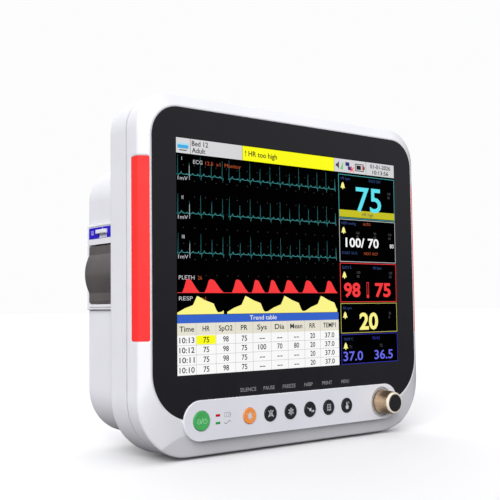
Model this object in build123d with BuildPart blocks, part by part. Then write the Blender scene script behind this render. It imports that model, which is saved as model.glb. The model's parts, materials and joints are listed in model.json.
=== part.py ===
from build123d import *
import os

# Bedside patient monitor with a 15 inch screen, a side-loading strip recorder and a folding handle.
# Frame: +X to the right of someone facing the screen, +Y from the screen towards the rear, +Z up.
# The origin is on the table under the middle of the case. All sizes are millimetres.

# ---------------------------------------------------------------- driving dimensions
SCREEN_Z = 196.0  # height of the middle of the screen above the table
SCREEN_W, SCREEN_H = 304.1, 228.1  # visible picture of a 15 inch 4:3 panel
GLASS_Y = -62.0  # front face of the black screen surround
RIDGE_Y = GLASS_Y + 7.8  # where the sloping front rim meets the side of the case
SEAM_Y = GLASS_Y + 27.8  # joint between the front and rear mouldings
STEP_Y = GLASS_Y + 61.8  # rear face of the wide front part
REAR_Y = GLASS_Y + 145.0  # rearmost face
WALL = 3.0
SEAM_GAP, SEAM_DEPTH = 1.1, 1.8  # shadow line between the mouldings

CASE = dict(half=190.6, bottom=3.0, top=353.0, low_r=58.0, high_r=36.0)
MASK = dict(half=179.2, bottom=39.0, top=339.3, low_r=47.0, high_r=30.0)
HUMP = dict(half=171.4, bottom=15.0, top=297.0, low_r=48.0, high_r=37.0)
CHIN_Y = GLASS_Y + 12.0  # where the slope under the screen meets the underside

PILL_Z = SCREEN_Z - 157.7  # height of the row of keys
PILL_L, PILL_H, PILL_PROUD = 292.5, 39.2, 1.5
PILL_FRONT_Y = GLASS_Y - PILL_PROUD
POWER_X, POWER_R = -126.0, 9.4
KEY_ROW_X, KEY_PITCH, KEY_R = -0.9, 26.8, 7.8
KEY_NAMES = ["silence_key", "pause_key", "freeze_key", "nibp_key", "print_key", "menu_key"]
KEY_GAP = 0.4
KNOB_X, KNOB_FRONT_Y = 120.8, GLASS_Y - 22.8
LIGHT_X, LIGHT_ZS = -106.6, (SCREEN_Z - 154.1, SCREEN_Z - 161.4)
LIGHT_W, LIGHT_H = 5.2, 2.1

ALARM_Z0, ALARM_Z1 = SCREEN_Z - 80.5, SCREEN_Z + 93.0
ALARM_IN_X, ALARM_BACK_Y, ALARM_R = 181.2, GLASS_Y + 18.4, 2.0

BOSSES = [(150.0, 341.5), (52.0, 341.5), (176.0, 52.0)]  # case screws, mirrored left and right
PANEL_BOSSES = [(173.5, 96.0), (173.5, 306.0)]  # screws of the inner steel plate
PLATE_Y, PLATE_T = -50.0, 1.5

REC_Y0, REC_Y1, REC_Z0, REC_Z1 = 7.0, 75.2, SCREEN_Z - 50.8, SCREEN_Z + 38.0  # recorder's face
REC_X = -174.9  # outer face of the recorder's frame
REC_MID_Y = (REC_Y0 + REC_Y1) / 2
DOOR_Y0, DOOR_Y1, DOOR_Z0, DOOR_Z1 = 11.6, 70.6, 151.4, 211.2
DOOR_T, BARREL_R, PIN_R = 3.0, 3.0, 1.25
PIN_FIT = 0.05
ROLL_X, ROLL_Z, ROLL_R, CORE_R, PAPER_W = -147.0, 177.5, 20.0, 8.0, 48.0
BULGE_X, BULGE_Z, BULGE_R = -139.3, 182.5, 40.7  # swelling of the door over the roll
PLATEN_X, PLATEN_Z, PLATEN_R, PLATEN_SHAFT_R = -165.0, 202.5, 5.5, 2.0

PANEL_Y0, PANEL_Y1, PANEL_Z0, PANEL_Z1 = 8.0, 70.0, 96.0, 246.0  # opening of the patient sockets
PANEL_X = HUMP["half"] - WALL  # outer face of the socket panel, against the inside of the wall

BAY_X0, BAY_X1, BAY_Z0, BAY_Z1 = 22.5, 142.0, 34.5, 97.5  # recess of the rear connectors
BAY_FLOOR_Y = 70.0
INLET_X, INLET_Z = 120.0, 66.0
BATT_X0, BATT_X1, BATT_Z0, BATT_Z1 = -148.4, 8.4, 34.6, 97.4  # opening of the battery door
BATT_PIN_X, BATT_PIN_Y = -144.5, REAR_Y - BARREL_R
LATCH_X, LATCH_Z = 0.0, (BATT_Z0 + BATT_Z1) / 2
SHELF_Z, SHELF_T = 99.0, 1.5

MOUNT_PITCH, MOUNT_Z, INSERT_R, INSERT_BORE_R = 100.0, 180.0, 3.2, 2.0
HANDLE_Y, HANDLE_Z, HANDLE_PIN_R = 18.0, 307.5, 3.0
HANDLE_X, HANDLE_ARM_W = 104.0, 12.0
GRIP_Y = 68.0
FEET = [(100.0, -18.0), (88.0, 60.0)]  # one pair under the front part, one under pedestals
SPEAKER_X, SPEAKER_Z, SPEAKER_R = 112.0, 256.0, 22.0


# ---------------------------------------------------------------- helpers
def front_plane(y):
    """Plane at depth y whose sketch is seen from the front: local x is +X, local y is +Z."""
    return Plane(origin=(0, y, 0), x_dir=(1, 0, 0), z_dir=(0, -1, 0))


def side_plane(x):
    """Plane at x whose local x is +Y and local y is +Z; it extrudes towards +X."""
    return Plane(origin=(x, 0, 0), x_dir=(0, 1, 0), z_dir=(1, 0, 0))


def case_outline(plane, outline, grow=0.0):
    """Front-view outline with small upper corners and large lower ones, grown evenly."""
    half = outline["half"] + grow
    top = outline["top"] + grow
    bottom = outline["bottom"] - grow
    with BuildSketch(plane) as sketch:
        with Locations((0, (top + bottom) / 2)):
            Rectangle(2 * half, top - bottom)
        corners = sketch.vertices().group_by(Axis.Y)
        fillet(corners[-1], outline["high_r"] + grow)
        corners = sketch.vertices().sort_by(Axis.Y)[:2]
        fillet(corners, outline["low_r"] + grow)
    return sketch.sketch


def pill_outline(plane, grow=0.0):
    """Outline of the long oval control panel."""
    with BuildSketch(plane) as sketch:
        with Locations((0, PILL_Z)):
            SlotOverall(PILL_L + 2 * grow, PILL_H + 2 * grow)
    return sketch.sketch


def block(x0, x1, y0, y1, z0, z1, mode=Mode.ADD):
    """Plain block between two corners, joined to or cut from the part being built."""
    with Locations(((x0 + x1) / 2, (y0 + y1) / 2, (z0 + z1) / 2)):
        Box(x1 - x0, y1 - y0, z1 - z0, mode=mode)


def rod(axis, x, y, z, radius, length, mode=Mode.ADD):
    """Cylinder centred on a point, lying along the named axis."""
    turn = {"x": (0, 90, 0), "y": (90, 0, 0), "z": (0, 0, 0)}[axis]
    with Locations((x, y, z)):
        Cylinder(radius, length, rotation=turn, mode=mode)


def rod_y(x, z, radius, y0, y1, mode=Mode.ADD):
    """Cylinder along Y between two depths."""
    rod("y", x, (y0 + y1) / 2, z, radius, abs(y1 - y0), mode)


def save(piece, name):
    """Labels a finished piece and writes its STEP file."""
    piece.part.label = name
    export_step(piece.part, f"parts/{name}.step")


os.makedirs("parts", exist_ok=True)


# ---------------------------------------------------------------- front moulding and screen
def alarm_bar_space(side, grow=0.0):
    """Rounded block that an alarm light fills where it wraps the edge of the front moulding."""
    inner = ALARM_IN_X - grow
    low, high = ALARM_Z0 - grow, ALARM_Z1 + grow
    back = ALARM_BACK_Y + grow
    with BuildPart() as space:
        with BuildSketch(front_plane(ALARM_BACK_Y + 5)):
            with Locations((side * (inner + 10), (low + high) / 2)):
                RectangleRounded(20, high - low, ALARM_R)
        extrude(amount=30)
        with BuildSketch(side_plane(side * inner - 5)):
            with Locations((back - 15, (low + high) / 2)):
                RectangleRounded(30, high - low, ALARM_R)
        extrude(amount=20 if side > 0 else -20, both=True, mode=Mode.INTERSECT)
    return space.part


def chin_wedge(inset=0.0):
    """Space in front of the slope that runs from the foot of the screen back to the underside."""
    top = MASK["bottom"] - 6.0 + inset
    back = CHIN_Y + inset
    foot = CASE["bottom"]
    with BuildPart() as wedge:
        with BuildSketch(side_plane(0)):
            with BuildLine():
                slope = [(GLASS_Y - 1, top), (GLASS_Y, top), (back, foot)]
                Polyline(*slope, (back, foot - 9), (GLASS_Y - 1, foot - 9), close=True)
            make_face()
        extrude(amount=CASE["half"] + 5, both=True)
    return wedge.part


def make_front_skin():
    """Solid outer form of the front moulding: sloping rim and chin, then straight sides to the seam."""
    with BuildPart() as skin:
        loft([case_outline(front_plane(GLASS_Y), MASK, 1.0), case_outline(front_plane(RIDGE_Y), CASE)])
        extrude(case_outline(front_plane(SEAM_Y), CASE), amount=SEAM_Y - RIDGE_Y)
        fillet(skin.edges().filter_by_position(Axis.Y, RIDGE_Y - 0.01, RIDGE_Y + 0.01), 1.6)
        add(chin_wedge(), mode=Mode.SUBTRACT)
    return skin.part


def make_front_bezel(skin):
    with BuildPart() as room:
        extrude(case_outline(front_plane(SEAM_Y), CASE, -WALL), amount=18)
        add(chin_wedge(WALL + 0.5), mode=Mode.SUBTRACT)
    with BuildPart() as bezel:
        add(skin)
        extrude(case_outline(front_plane(GLASS_Y + 2), MASK, 0.15), amount=5, mode=Mode.SUBTRACT)
        extrude(case_outline(front_plane(GLASS_Y + 5), MASK, -4), amount=5, mode=Mode.SUBTRACT)
        extrude(case_outline(front_plane(GLASS_Y + 13), MASK, -1), amount=8, mode=Mode.SUBTRACT)
        add(room.part, mode=Mode.SUBTRACT)
        extrude(pill_outline(front_plane(GLASS_Y + 13), -2.7), amount=20, mode=Mode.SUBTRACT)
        for side in (-1, 1):
            add(alarm_bar_space(side, 0.15), mode=Mode.SUBTRACT)
            for x, z in BOSSES:
                rod_y(side * x, z, 4.5, SEAM_Y - 18.5, SEAM_Y)
                rod_y(side * x, z, 2.05, SEAM_Y - 15, SEAM_Y, Mode.SUBTRACT)
            for x, z in PANEL_BOSSES:
                rod_y(side * x, z, 4.0, GLASS_Y + 3.5, PLATE_Y)
                rod_y(side * x, z, 1.55, PLATE_Y - 6, PLATE_Y, Mode.SUBTRACT)
    save(bezel, "front_bezel")


def make_alarm_light(side, name, skin):
    """Red lens that wraps from the sloping rim round to the side, hollow behind."""
    with BuildPart() as lens:
        add(alarm_bar_space(side))
        add(skin, mode=Mode.INTERSECT)
        low, high = ALARM_Z0 + 3, ALARM_Z1 - 3
        x0, x1 = sorted((side * 180.0, side * (CASE["half"] - WALL)))
        block(x0, x1, RIDGE_Y + 2.5, SEAM_Y, low, high, Mode.SUBTRACT)
    save(lens, name)


def make_alarm_boards():
    """Two strips of circuit board, each with a row of light emitters facing its lens."""
    count, pitch = 9, 17.0
    middle = (ALARM_Z0 + ALARM_Z1) / 2
    with BuildPart() as boards:
        for side in (-1, 1):
            x0, x1 = sorted((side * 180.4, side * 182.0))
            block(x0, x1, RIDGE_Y + 4.5, SEAM_Y - 4, ALARM_Z0 + 8, ALARM_Z1 - 8)
            for i in range(count):
                z = middle + (i - (count - 1) / 2) * pitch
                e0, e1 = sorted((side * 182.0, side * 183.4))
                block(e0, e1, RIDGE_Y + 6, RIDGE_Y + 9.5, z - 1.75, z + 1.75)
    save(boards, "alarm_boards")


def make_screen_surround():
    with BuildPart() as surround:
        extrude(case_outline(front_plane(GLASS_Y + 2), MASK), amount=2)
        with BuildSketch(front_plane(GLASS_Y + 2)):
            with Locations((0, SCREEN_Z)):
                Rectangle(SCREEN_W, SCREEN_H)
        extrude(amount=2, mode=Mode.SUBTRACT)
        extrude(pill_outline(front_plane(GLASS_Y + 2), -2.7), amount=2, mode=Mode.SUBTRACT)
    save(surround, "screen_surround")


def make_lcd_panel():
    """Display module: a flat metal-framed box with its glass standing up into the window."""
    with BuildPart() as panel:
        block(-163, 163, GLASS_Y + 2.05, PLATE_Y - 0.6, SCREEN_Z - 126.5, SCREEN_Z + 126.5)
        half_w, half_h = SCREEN_W / 2 - 0.25, SCREEN_H / 2 - 0.25
        block(-half_w, half_w, GLASS_Y + 0.6, GLASS_Y + 2.05, SCREEN_Z - half_h, SCREEN_Z + half_h)
    save(panel, "lcd_panel")


# ---------------------------------------------------------------- control panel, keys and knob
def key_places():
    """Name, x and radius of every key, left to right."""
    row = [(name, KEY_ROW_X + (i - 2.5) * KEY_PITCH, KEY_R) for i, name in enumerate(KEY_NAMES)]
    return [("power_key", POWER_X, POWER_R)] + row


def make_control_panel():
    with BuildPart() as panel:
        extrude(pill_outline(front_plane(GLASS_Y)), amount=PILL_PROUD)
        fillet(panel.faces().sort_by(Axis.Y)[0].edges(), 0.8)
        extrude(pill_outline(front_plane(GLASS_Y + 12), -3), amount=12)
        extrude(pill_outline(front_plane(GLASS_Y + 12), -5), amount=12, mode=Mode.SUBTRACT)
        for _, x, radius in key_places():
            rod_y(x, PILL_Z, radius + KEY_GAP, PILL_FRONT_Y - 1, GLASS_Y + 1, Mode.SUBTRACT)
        rod_y(KNOB_X, PILL_Z, 16.9, PILL_FRONT_Y - 1, GLASS_Y + 1, Mode.SUBTRACT)
        for z in LIGHT_ZS:
            x0, x1 = LIGHT_X - LIGHT_W / 2 - 0.1, LIGHT_X + LIGHT_W / 2 + 0.1
            z0, z1 = z - LIGHT_H / 2 - 0.1, z + LIGHT_H / 2 + 0.1
            block(x0, x1, PILL_FRONT_Y - 1, GLASS_Y + 1, z0, z1, Mode.SUBTRACT)
    save(panel, "control_panel")


def make_key(name, x, radius):
    """Round key cap with a dished face, a flange behind the panel and a stem to its switch."""
    face_y = PILL_FRONT_Y - 1.0
    with BuildPart() as key:
        rod_y(x, PILL_Z, radius, face_y, GLASS_Y + 0.1)
        fillet(key.faces().sort_by(Axis.Y)[0].edges(), 0.6)
        rod_y(x, PILL_Z, radius + 1.2, GLASS_Y + 0.1, GLASS_Y + 1.3)
        rod_y(x, PILL_Z, 2.5, GLASS_Y + 1.3, GLASS_Y + 3.4)
        dish_r = 90.0
        with Locations((x, face_y + 0.35 - dish_r, PILL_Z)):
            Sphere(dish_r, mode=Mode.SUBTRACT)
    save(key, name)


def make_key_board():
    """Circuit board behind the keys, with a tactile switch for each."""
    with BuildPart() as board:
        extrude(pill_outline(front_plane(GLASS_Y + 9.6), -5.2), amount=1.6)
        for _, x, _ in key_places():
            block(x - 3, x + 3, GLASS_Y + 4.9, GLASS_Y + 8, PILL_Z - 3, PILL_Z + 3)
            rod_y(x, PILL_Z, 1.75, GLASS_Y + 4.4, GLASS_Y + 4.9)
    save(board, "key_board")


def make_status_light(name, z):
    """Small clear window that carries light from the key board to the panel's face."""
    with BuildPart() as light:
        x0, x1 = LIGHT_X - LIGHT_W / 2, LIGHT_X + LIGHT_W / 2
        block(x0, x1, PILL_FRONT_Y - 0.2, GLASS_Y, z - LIGHT_H / 2, z + LIGHT_H / 2)
        fillet(light.faces().sort_by(Axis.Y)[0].edges(), 0.4)
        block(LIGHT_X - 4, LIGHT_X + 4, GLASS_Y, GLASS_Y + 6, z - 1.9, z + 1.9)
    save(light, name)


def make_knob_well():
    """Pale dished ring that the knob turns in."""
    with BuildPart() as well:
        rod_y(KNOB_X, PILL_Z, 16.75, PILL_FRONT_Y - 0.3, GLASS_Y)
        rod_y(KNOB_X, PILL_Z, 15.9, PILL_FRONT_Y - 0.3, PILL_FRONT_Y + 0.8, Mode.SUBTRACT)
        rod_y(KNOB_X, PILL_Z, 5.3, PILL_FRONT_Y, GLASS_Y, Mode.SUBTRACT)
        chamfer(well.faces().sort_by(Axis.Y)[0].edges().sort_by(SortBy.LENGTH)[-1], 0.3)
    save(well, "knob_well")


def make_encoder_body():
    with BuildPart() as body:
        block(KNOB_X - 6.5, KNOB_X + 6.5, GLASS_Y + 0.5, GLASS_Y + 8, PILL_Z - 6.5, PILL_Z + 6.5)
        rod_y(KNOB_X, PILL_Z, 5.0, PILL_FRONT_Y + 0.9, GLASS_Y + 0.5)
        rod_y(KNOB_X, PILL_Z, 4.06, PILL_FRONT_Y, GLASS_Y + 7, Mode.SUBTRACT)
    save(body, "encoder_body")


def make_encoder_plunger():
    """Sleeve that slides in the encoder when the knob is pushed."""
    with BuildPart() as plunger:
        rod_y(KNOB_X, PILL_Z, 4.0, PILL_FRONT_Y, GLASS_Y + 5.8)
        rod_y(KNOB_X, PILL_Z, 3.05, PILL_FRONT_Y, GLASS_Y + 5.8, Mode.SUBTRACT)
    save(plunger, "encoder_plunger")


def make_encoder_shaft():
    with BuildPart() as shaft:
        rod_y(KNOB_X, PILL_Z, 3.0, KNOB_FRONT_Y + 7, GLASS_Y + 5.6)
    save(shaft, "encoder_shaft")


def make_knob_skirt():
    """Tapering metal skirt with fine flutes for the fingers."""
    base_y, neck_y = PILL_FRONT_Y - 0.1, KNOB_FRONT_Y + 3.2
    base_r, neck_r, flutes = 13.8, 12.0, 32
    with BuildPart() as skirt:
        with BuildSketch(Plane.XY) as profile:
            with BuildLine():
                outer = [(base_r, base_y), (base_r, base_y - 2), (neck_r, neck_y)]
                Polyline((0, base_y), *outer, (0, neck_y), close=True)
            make_face()
        revolve(axis=Axis.Y)
        with Locations(Plane(origin=(0, neck_y, 0), x_dir=(1, 0, 0), z_dir=(0, 1, 0))):
            with PolarLocations((base_r + neck_r) / 2 + 1.45, flutes):
                Cylinder(0.8, 40, rotation=(0, 6.4, 0), mode=Mode.SUBTRACT)
        rod_y(0, 0, 3.02, base_y, KNOB_FRONT_Y + 6.9, Mode.SUBTRACT)
    with BuildPart() as placed:
        add(skirt.part.moved(Location((KNOB_X, 0, PILL_Z))))
    save(placed, "knob_skirt")


def make_knob_ring():
    """Pale collar between the skirt and the dark cap."""
    back_y = KNOB_FRONT_Y + 3.2
    with BuildPart() as ring:
        rod_y(KNOB_X, PILL_Z, 11.6, back_y - 2.4, back_y)
        fillet(ring.faces().sort_by(Axis.Y)[0].edges(), 0.9)
        rod_y(KNOB_X, PILL_Z, 9.65, back_y - 3, back_y, Mode.SUBTRACT)
    save(ring, "knob_ring")


def make_knob_cap():
    with BuildPart() as cap:
        rod_y(KNOB_X, PILL_Z, 9.6, KNOB_FRONT_Y, KNOB_FRONT_Y + 3.2)
        fillet(cap.faces().sort_by(Axis.Y)[0].edges(), 0.8)
    save(cap, "knob_cap")


# ---------------------------------------------------------------- rear moulding
def make_hump_form():
    """Solid outer form of the deep rear part, with a rounded rear edge."""
    with BuildPart() as hump:
        extrude(case_outline(front_plane(REAR_Y), HUMP), amount=REAR_Y - STEP_Y + 12)
        fillet(hump.faces().sort_by(Axis.Y)[-1].edges(), 8.0)
    return hump.part


def make_handle_ear(side):
    """Upright lug on the top face that holds one end of the handle."""
    x = side * (HANDLE_X + HANDLE_ARM_W / 2 + 0.4)
    width, height = 18.0, HANDLE_Z - HUMP["top"] + 2
    with BuildPart() as ear:
        with BuildSketch(side_plane(x)):
            with Locations((HANDLE_Y, HANDLE_Z - height / 2)):
                Rectangle(width, height)
            with Locations((HANDLE_Y, HANDLE_Z)):
                Circle(width / 2)
                Circle(HANDLE_PIN_R + 0.03, mode=Mode.SUBTRACT)
        extrude(amount=side * 9)
    return ear.part


def cut_vents():
    """Cooling slots near the top of the rear face."""
    for i in range(19):
        block(-112 + i * 9, -108.6 + i * 9, REAR_Y - 5, REAR_Y + 1, 262, 284, Mode.SUBTRACT)


def cut_speaker_slots():
    """Short slots in front of the speaker, shortened to a round patch."""
    for i in range(-4, 5):
        z = SPEAKER_Z + i * 4.4
        reach = (19.0**2 - (i * 4.4) ** 2) ** 0.5
        block(SPEAKER_X - reach, SPEAKER_X + reach, REAR_Y - 5, REAR_Y + 1, z - 1.1, z + 1.1, Mode.SUBTRACT)


def make_rear_shell():
    hump = make_hump_form()
    ears = [make_handle_ear(side) for side in (-1, 1)]
    wall_y = REAR_Y - WALL
    with BuildPart() as shell:
        extrude(case_outline(front_plane(STEP_Y), CASE), amount=STEP_Y - SEAM_Y - SEAM_GAP)
        fillet(shell.faces().sort_by(Axis.Y)[-1].edges(), 5.0)
        extrude(case_outline(front_plane(SEAM_Y + SEAM_GAP), CASE, -SEAM_DEPTH), amount=SEAM_GAP)
        add(hump)
        for side in (-1, 1):
            with BuildSketch(Plane.XY.offset(CASE["bottom"])):
                with Locations((side * FEET[1][0], FEET[1][1])):
                    RectangleRounded(44, 24, 6)
            extrude(amount=18)
        wide_room = case_outline(front_plane(STEP_Y - WALL), CASE, -WALL)
        extrude(wide_room, amount=STEP_Y - SEAM_Y, mode=Mode.SUBTRACT)
        deep_room = case_outline(front_plane(wall_y), HUMP, -WALL)
        extrude(deep_room, amount=wall_y - SEAM_Y, mode=Mode.SUBTRACT)
        # bosses of the case screws, inside the shoulder around the deep part
        for side in (-1, 1):
            for x, z in BOSSES:
                rod_y(side * x, z, 5.5, SEAM_Y, STEP_Y - WALL)
                rod_y(side * x, z, 2.05, SEAM_Y, STEP_Y, Mode.SUBTRACT)
                rod_y(side * x, z, 4.2, STEP_Y - 3.4, STEP_Y + 1, Mode.SUBTRACT)
        # threaded inserts for an arm or a wall bracket
        for x in (-MOUNT_PITCH / 2, MOUNT_PITCH / 2):
            for z in (MOUNT_Z - MOUNT_PITCH / 2, MOUNT_Z + MOUNT_PITCH / 2):
                rod_y(x, z, 6.5, REAR_Y - 12, wall_y)
                rod_y(x, z, INSERT_R + 0.02, REAR_Y - 12, REAR_Y, Mode.SUBTRACT)
        # left: recorder; right: patient sockets
        block(-180, -160, REC_Y0 - 0.6, REC_Y1 + 0.6, REC_Z0 - 0.6, REC_Z1 + 0.6, Mode.SUBTRACT)
        with BuildSketch(side_plane(PANEL_X - 1)):
            with Locations(((PANEL_Y0 + PANEL_Y1) / 2, (PANEL_Z0 + PANEL_Z1) / 2)):
                RectangleRounded(PANEL_Y1 - PANEL_Y0, PANEL_Z1 - PANEL_Z0, 8)
        extrude(amount=10, mode=Mode.SUBTRACT)
        # rear: recess of the connectors, then the battery door with the lugs of its pin
        block(BAY_X0 - 2.5, BAY_X1 + 2.5, BAY_FLOOR_Y, wall_y, BAY_Z0 - 2.5, BAY_Z1 + 2.5)
        block(BAY_X0, BAY_X1, BAY_FLOOR_Y, REAR_Y + 1, BAY_Z0, BAY_Z1, Mode.SUBTRACT)
        block(BATT_X0, BATT_X1, wall_y - 1, REAR_Y + 1, BATT_Z0, BATT_Z1, Mode.SUBTRACT)
        for z0 in (BATT_Z0 - 6.2, BATT_Z1):
            block(BATT_X0, BATT_X0 + 8, wall_y - 4, wall_y + 0.5, z0, z0 + 6.2)
        rod("z", BATT_PIN_X, BATT_PIN_Y, LATCH_Z, PIN_R + 0.02, 72, Mode.SUBTRACT)
        cut_vents()
        cut_speaker_slots()
        # handle lugs and the low pads that the folded handle comes down on
        for side, ear in zip((-1, 1), ears):
            add(ear)
            block(side * HANDLE_X - 4, side * HANDLE_X + 4, 50, 58, HUMP["top"] - 1, HANDLE_Z - 6.8)
    save(shell, "rear_shell")


def make_case_screws():
    """Pan-head screws of the two mouldings, and the smaller ones of the inner steel plate."""
    head_y = STEP_Y - 3.4
    back_y = PLATE_Y + PLATE_T
    with BuildPart() as screws:
        for side in (-1, 1):
            for x, z in PANEL_BOSSES:
                rod_y(side * x, z, 2.8, back_y, back_y + 1.8)
                rod_y(side * x, z, 1.5, PLATE_Y - 5, back_y)
            for x, z in BOSSES:
                rod_y(side * x, z, 3.6, head_y, head_y + 2.4)
                rod_y(side * x, z, 2.0, SEAM_Y - 14, head_y)
                block(side * x - 2, side * x + 2, head_y + 1, head_y + 3, z - 0.4, z + 0.4, Mode.SUBTRACT)
                block(side * x - 0.4, side * x + 0.4, head_y + 1, head_y + 3, z - 2, z + 2, Mode.SUBTRACT)
    save(screws, "case_screws")


def make_mount_inserts():
    with BuildPart() as inserts:
        for x in (-MOUNT_PITCH / 2, MOUNT_PITCH / 2):
            for z in (MOUNT_Z - MOUNT_PITCH / 2, MOUNT_Z + MOUNT_PITCH / 2):
                rod_y(x, z, INSERT_R, REAR_Y - 12, REAR_Y)
                rod_y(x, z, INSERT_BORE_R, REAR_Y - 12, REAR_Y, Mode.SUBTRACT)
    save(inserts, "mount_inserts")


def make_feet():
    """Soft pads under the front moulding and under the rear pedestals."""
    with BuildPart() as feet:
        for x, y in FEET:
            for side in (-1, 1):
                with BuildSketch(Plane.XY):
                    with Locations((side * x, y)):
                        RectangleRounded(34, 15, 5)
                extrude(amount=CASE["bottom"])
        chamfer(feet.faces().group_by(Axis.Z)[0].edges(), 0.6)
    save(feet, "feet")


# ---------------------------------------------------------------- folding handle
def make_carry_handle():
    """Two arms and a bar that is slimmer in the middle, where the soft grip is moulded on."""
    half_t = 6.5
    with BuildPart() as handle:
        for side in (-1, 1):
            with BuildSketch(side_plane(side * (HANDLE_X - HANDLE_ARM_W / 2))):
                with Locations(((HANDLE_Y + GRIP_Y) / 2, HANDLE_Z)):
                    SlotOverall(GRIP_Y - HANDLE_Y + 2 * half_t, 2 * half_t)
            extrude(amount=side * HANDLE_ARM_W)
        with BuildSketch(side_plane(-HANDLE_X)):
            with Locations((GRIP_Y, HANDLE_Z)):
                RectangleRounded(14, 12, 5)
        extrude(amount=2 * HANDLE_X)
        for side in (-1, 1):
            with BuildSketch(side_plane(side * 64)):
                with Locations((GRIP_Y, HANDLE_Z)):
                    RectangleRounded(17, 13, 6)
            extrude(amount=side * (HANDLE_X - 64))
            rod("x", side * HANDLE_X, HANDLE_Y, HANDLE_Z, HANDLE_PIN_R + PIN_FIT, 20, Mode.SUBTRACT)
    save(handle, "carry_handle")


def make_handle_grip():
    with BuildPart() as grip:
        with BuildSketch(side_plane(-63.5)):
            with Locations((GRIP_Y, HANDLE_Z)):
                RectangleRounded(19, 15, 6.5)
                RectangleRounded(14, 12, 5, mode=Mode.SUBTRACT)
        extrude(amount=127)
        for i in range(-8, 9):
            with Locations((i * 6.5, GRIP_Y, HANDLE_Z - 8)):
                Cylinder(1.0, 30, rotation=(90, 0, 0), mode=Mode.SUBTRACT)
    save(grip, "handle_grip")


# ---------------------------------------------------------------- inner frame and electronics
def make_chassis():
    """Steel plate behind the display, bent into a shelf, with posts for the main board."""
    back_y = PLATE_Y + PLATE_T
    with BuildPart() as chassis:
        with BuildSketch(front_plane(back_y)):
            with Locations((0, 191)):
                RectangleRounded(355, 254, 18)
            for side in (-1, 1):
                for x, z in PANEL_BOSSES:
                    with Locations((side * x, z)):
                        Circle(1.7, mode=Mode.SUBTRACT)
        extrude(amount=PLATE_T)
        block(-160, 160, back_y, 66, SHELF_Z, SHELF_Z + SHELF_T)
        # cage under the shelf that the battery slides into from the rear
        block(-139, -12, 33, 76, 37, SHELF_Z)
        block(-139 + PLATE_T, -12 - PLATE_T, 33 + PLATE_T, 77, 37 + PLATE_T, SHELF_Z, Mode.SUBTRACT)
        for x in (-95, 95):
            for z in (150, 290):
                rod_y(x, z, 3.0, back_y, -40)
    save(chassis, "chassis")


def make_main_board():
    """Main circuit board with a finned heat sink, chips and a header."""
    back_y = -38.4
    with BuildPart() as board:
        block(-110, 110, -40, back_y, 136, 300)
        block(-30, 15, back_y, back_y + 3, 200, 245)
        for i in range(9):
            block(-30 + i * 5.3, -27.6 + i * 5.3, back_y + 3, back_y + 14, 200, 245)
        for x, z in [(45, 215), (45, 245), (-75, 220), (-75, 180), (60, 170)]:
            block(x - 9, x + 9, back_y, back_y + 1.6, z - 9, z + 9)
        block(-60, 20, back_y, back_y + 8, 142, 150)
    save(board, "main_board")


def make_power_supply():
    """Mains supply in a slotted metal case, hung from the shelf."""
    x0, x1, y0, y1, z0 = 28.0, 148.0, -20.0, 42.0, 46.0
    with BuildPart() as supply:
        block(x0, x1, y0, y1, z0, SHELF_Z)
        for i in range(12):
            x = x0 + 12 + i * 8.5
            block(x, x + 3, y0 - 1, y0 + 2, z0 + 10, SHELF_Z - 10, Mode.SUBTRACT)
    save(supply, "power_supply")


def make_parameter_module():
    """Screened box of the patient amplifiers behind the sockets."""
    with BuildPart() as module:
        block(112, 150, 10, 68, 150, 242)
        fillet(module.edges().filter_by(Axis.X), 3)
    save(module, "parameter_module")


PUMP_Y, PUMP_Z = (PANEL_Y0 + PANEL_Y1) / 2, 122.0


def make_nibp_pump():
    """Small air pump for the cuff, standing on the shelf, with its outlet up to the port."""
    with BuildPart() as pump:
        rod("x", 100, PUMP_Y, PUMP_Z, 13.5, 60)
        rod("x", 132, PUMP_Y, PUMP_Z, 9, 8)
        rod("x", 143, PUMP_Y, PUMP_Z, 3.2, 14)
        block(78, 122, PUMP_Y - 12, PUMP_Y + 12, SHELF_Z + SHELF_T, PUMP_Z - 4)
    save(pump, "nibp_pump")


def make_speaker():
    """Round loudspeaker with its basket and magnet, facing the slots in the rear face."""
    rim_y = REAR_Y - WALL - 0.2
    with BuildPart() as speaker:
        rod_y(SPEAKER_X, SPEAKER_Z, SPEAKER_R, rim_y - 2, rim_y)
        with BuildSketch(front_plane(rim_y - 2)):
            with Locations((SPEAKER_X, SPEAKER_Z)):
                Circle(SPEAKER_R - 1)
        extrude(amount=7, taper=40)
        rod_y(SPEAKER_X, SPEAKER_Z, 12, rim_y - 15, rim_y - 9)
        with BuildSketch(front_plane(rim_y)):
            with Locations((SPEAKER_X, SPEAKER_Z)):
                Circle(SPEAKER_R - 2.5)
        extrude(amount=5, taper=45, mode=Mode.SUBTRACT)
    save(speaker, "speaker")


# ---------------------------------------------------------------- battery and its door
def make_battery():
    with BuildPart() as battery:
        block(-136.5, -14.5, 37, 76, 39.5, 96.5)
        fillet(battery.edges().filter_by(Axis.X), 4)
        block(-60, -45, 76, 77, 60, 76)
    save(battery, "battery")


def make_battery_door():
    """Flush door with its hinge barrel tangent to the outer face."""
    inner_y = REAR_Y - 2.8
    z0, z1 = BATT_Z0 + 0.4, BATT_Z1 - 0.4
    with BuildPart() as door:
        block(BATT_PIN_X, BATT_X1 - 0.4, inner_y, REAR_Y, z0, z1)
        rod("z", BATT_PIN_X, BATT_PIN_Y, LATCH_Z, BARREL_R, z1 - z0)
        rod("z", BATT_PIN_X, BATT_PIN_Y, LATCH_Z, PIN_R + PIN_FIT, z1 - z0 + 2, Mode.SUBTRACT)
        rod_y(LATCH_X - 5, LATCH_Z, 9.3, REAR_Y - 1.8, REAR_Y + 1, Mode.SUBTRACT)
        rod_y(LATCH_X - 5, LATCH_Z, 3.05, inner_y - 1, REAR_Y, Mode.SUBTRACT)
    save(door, "battery_door")


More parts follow.
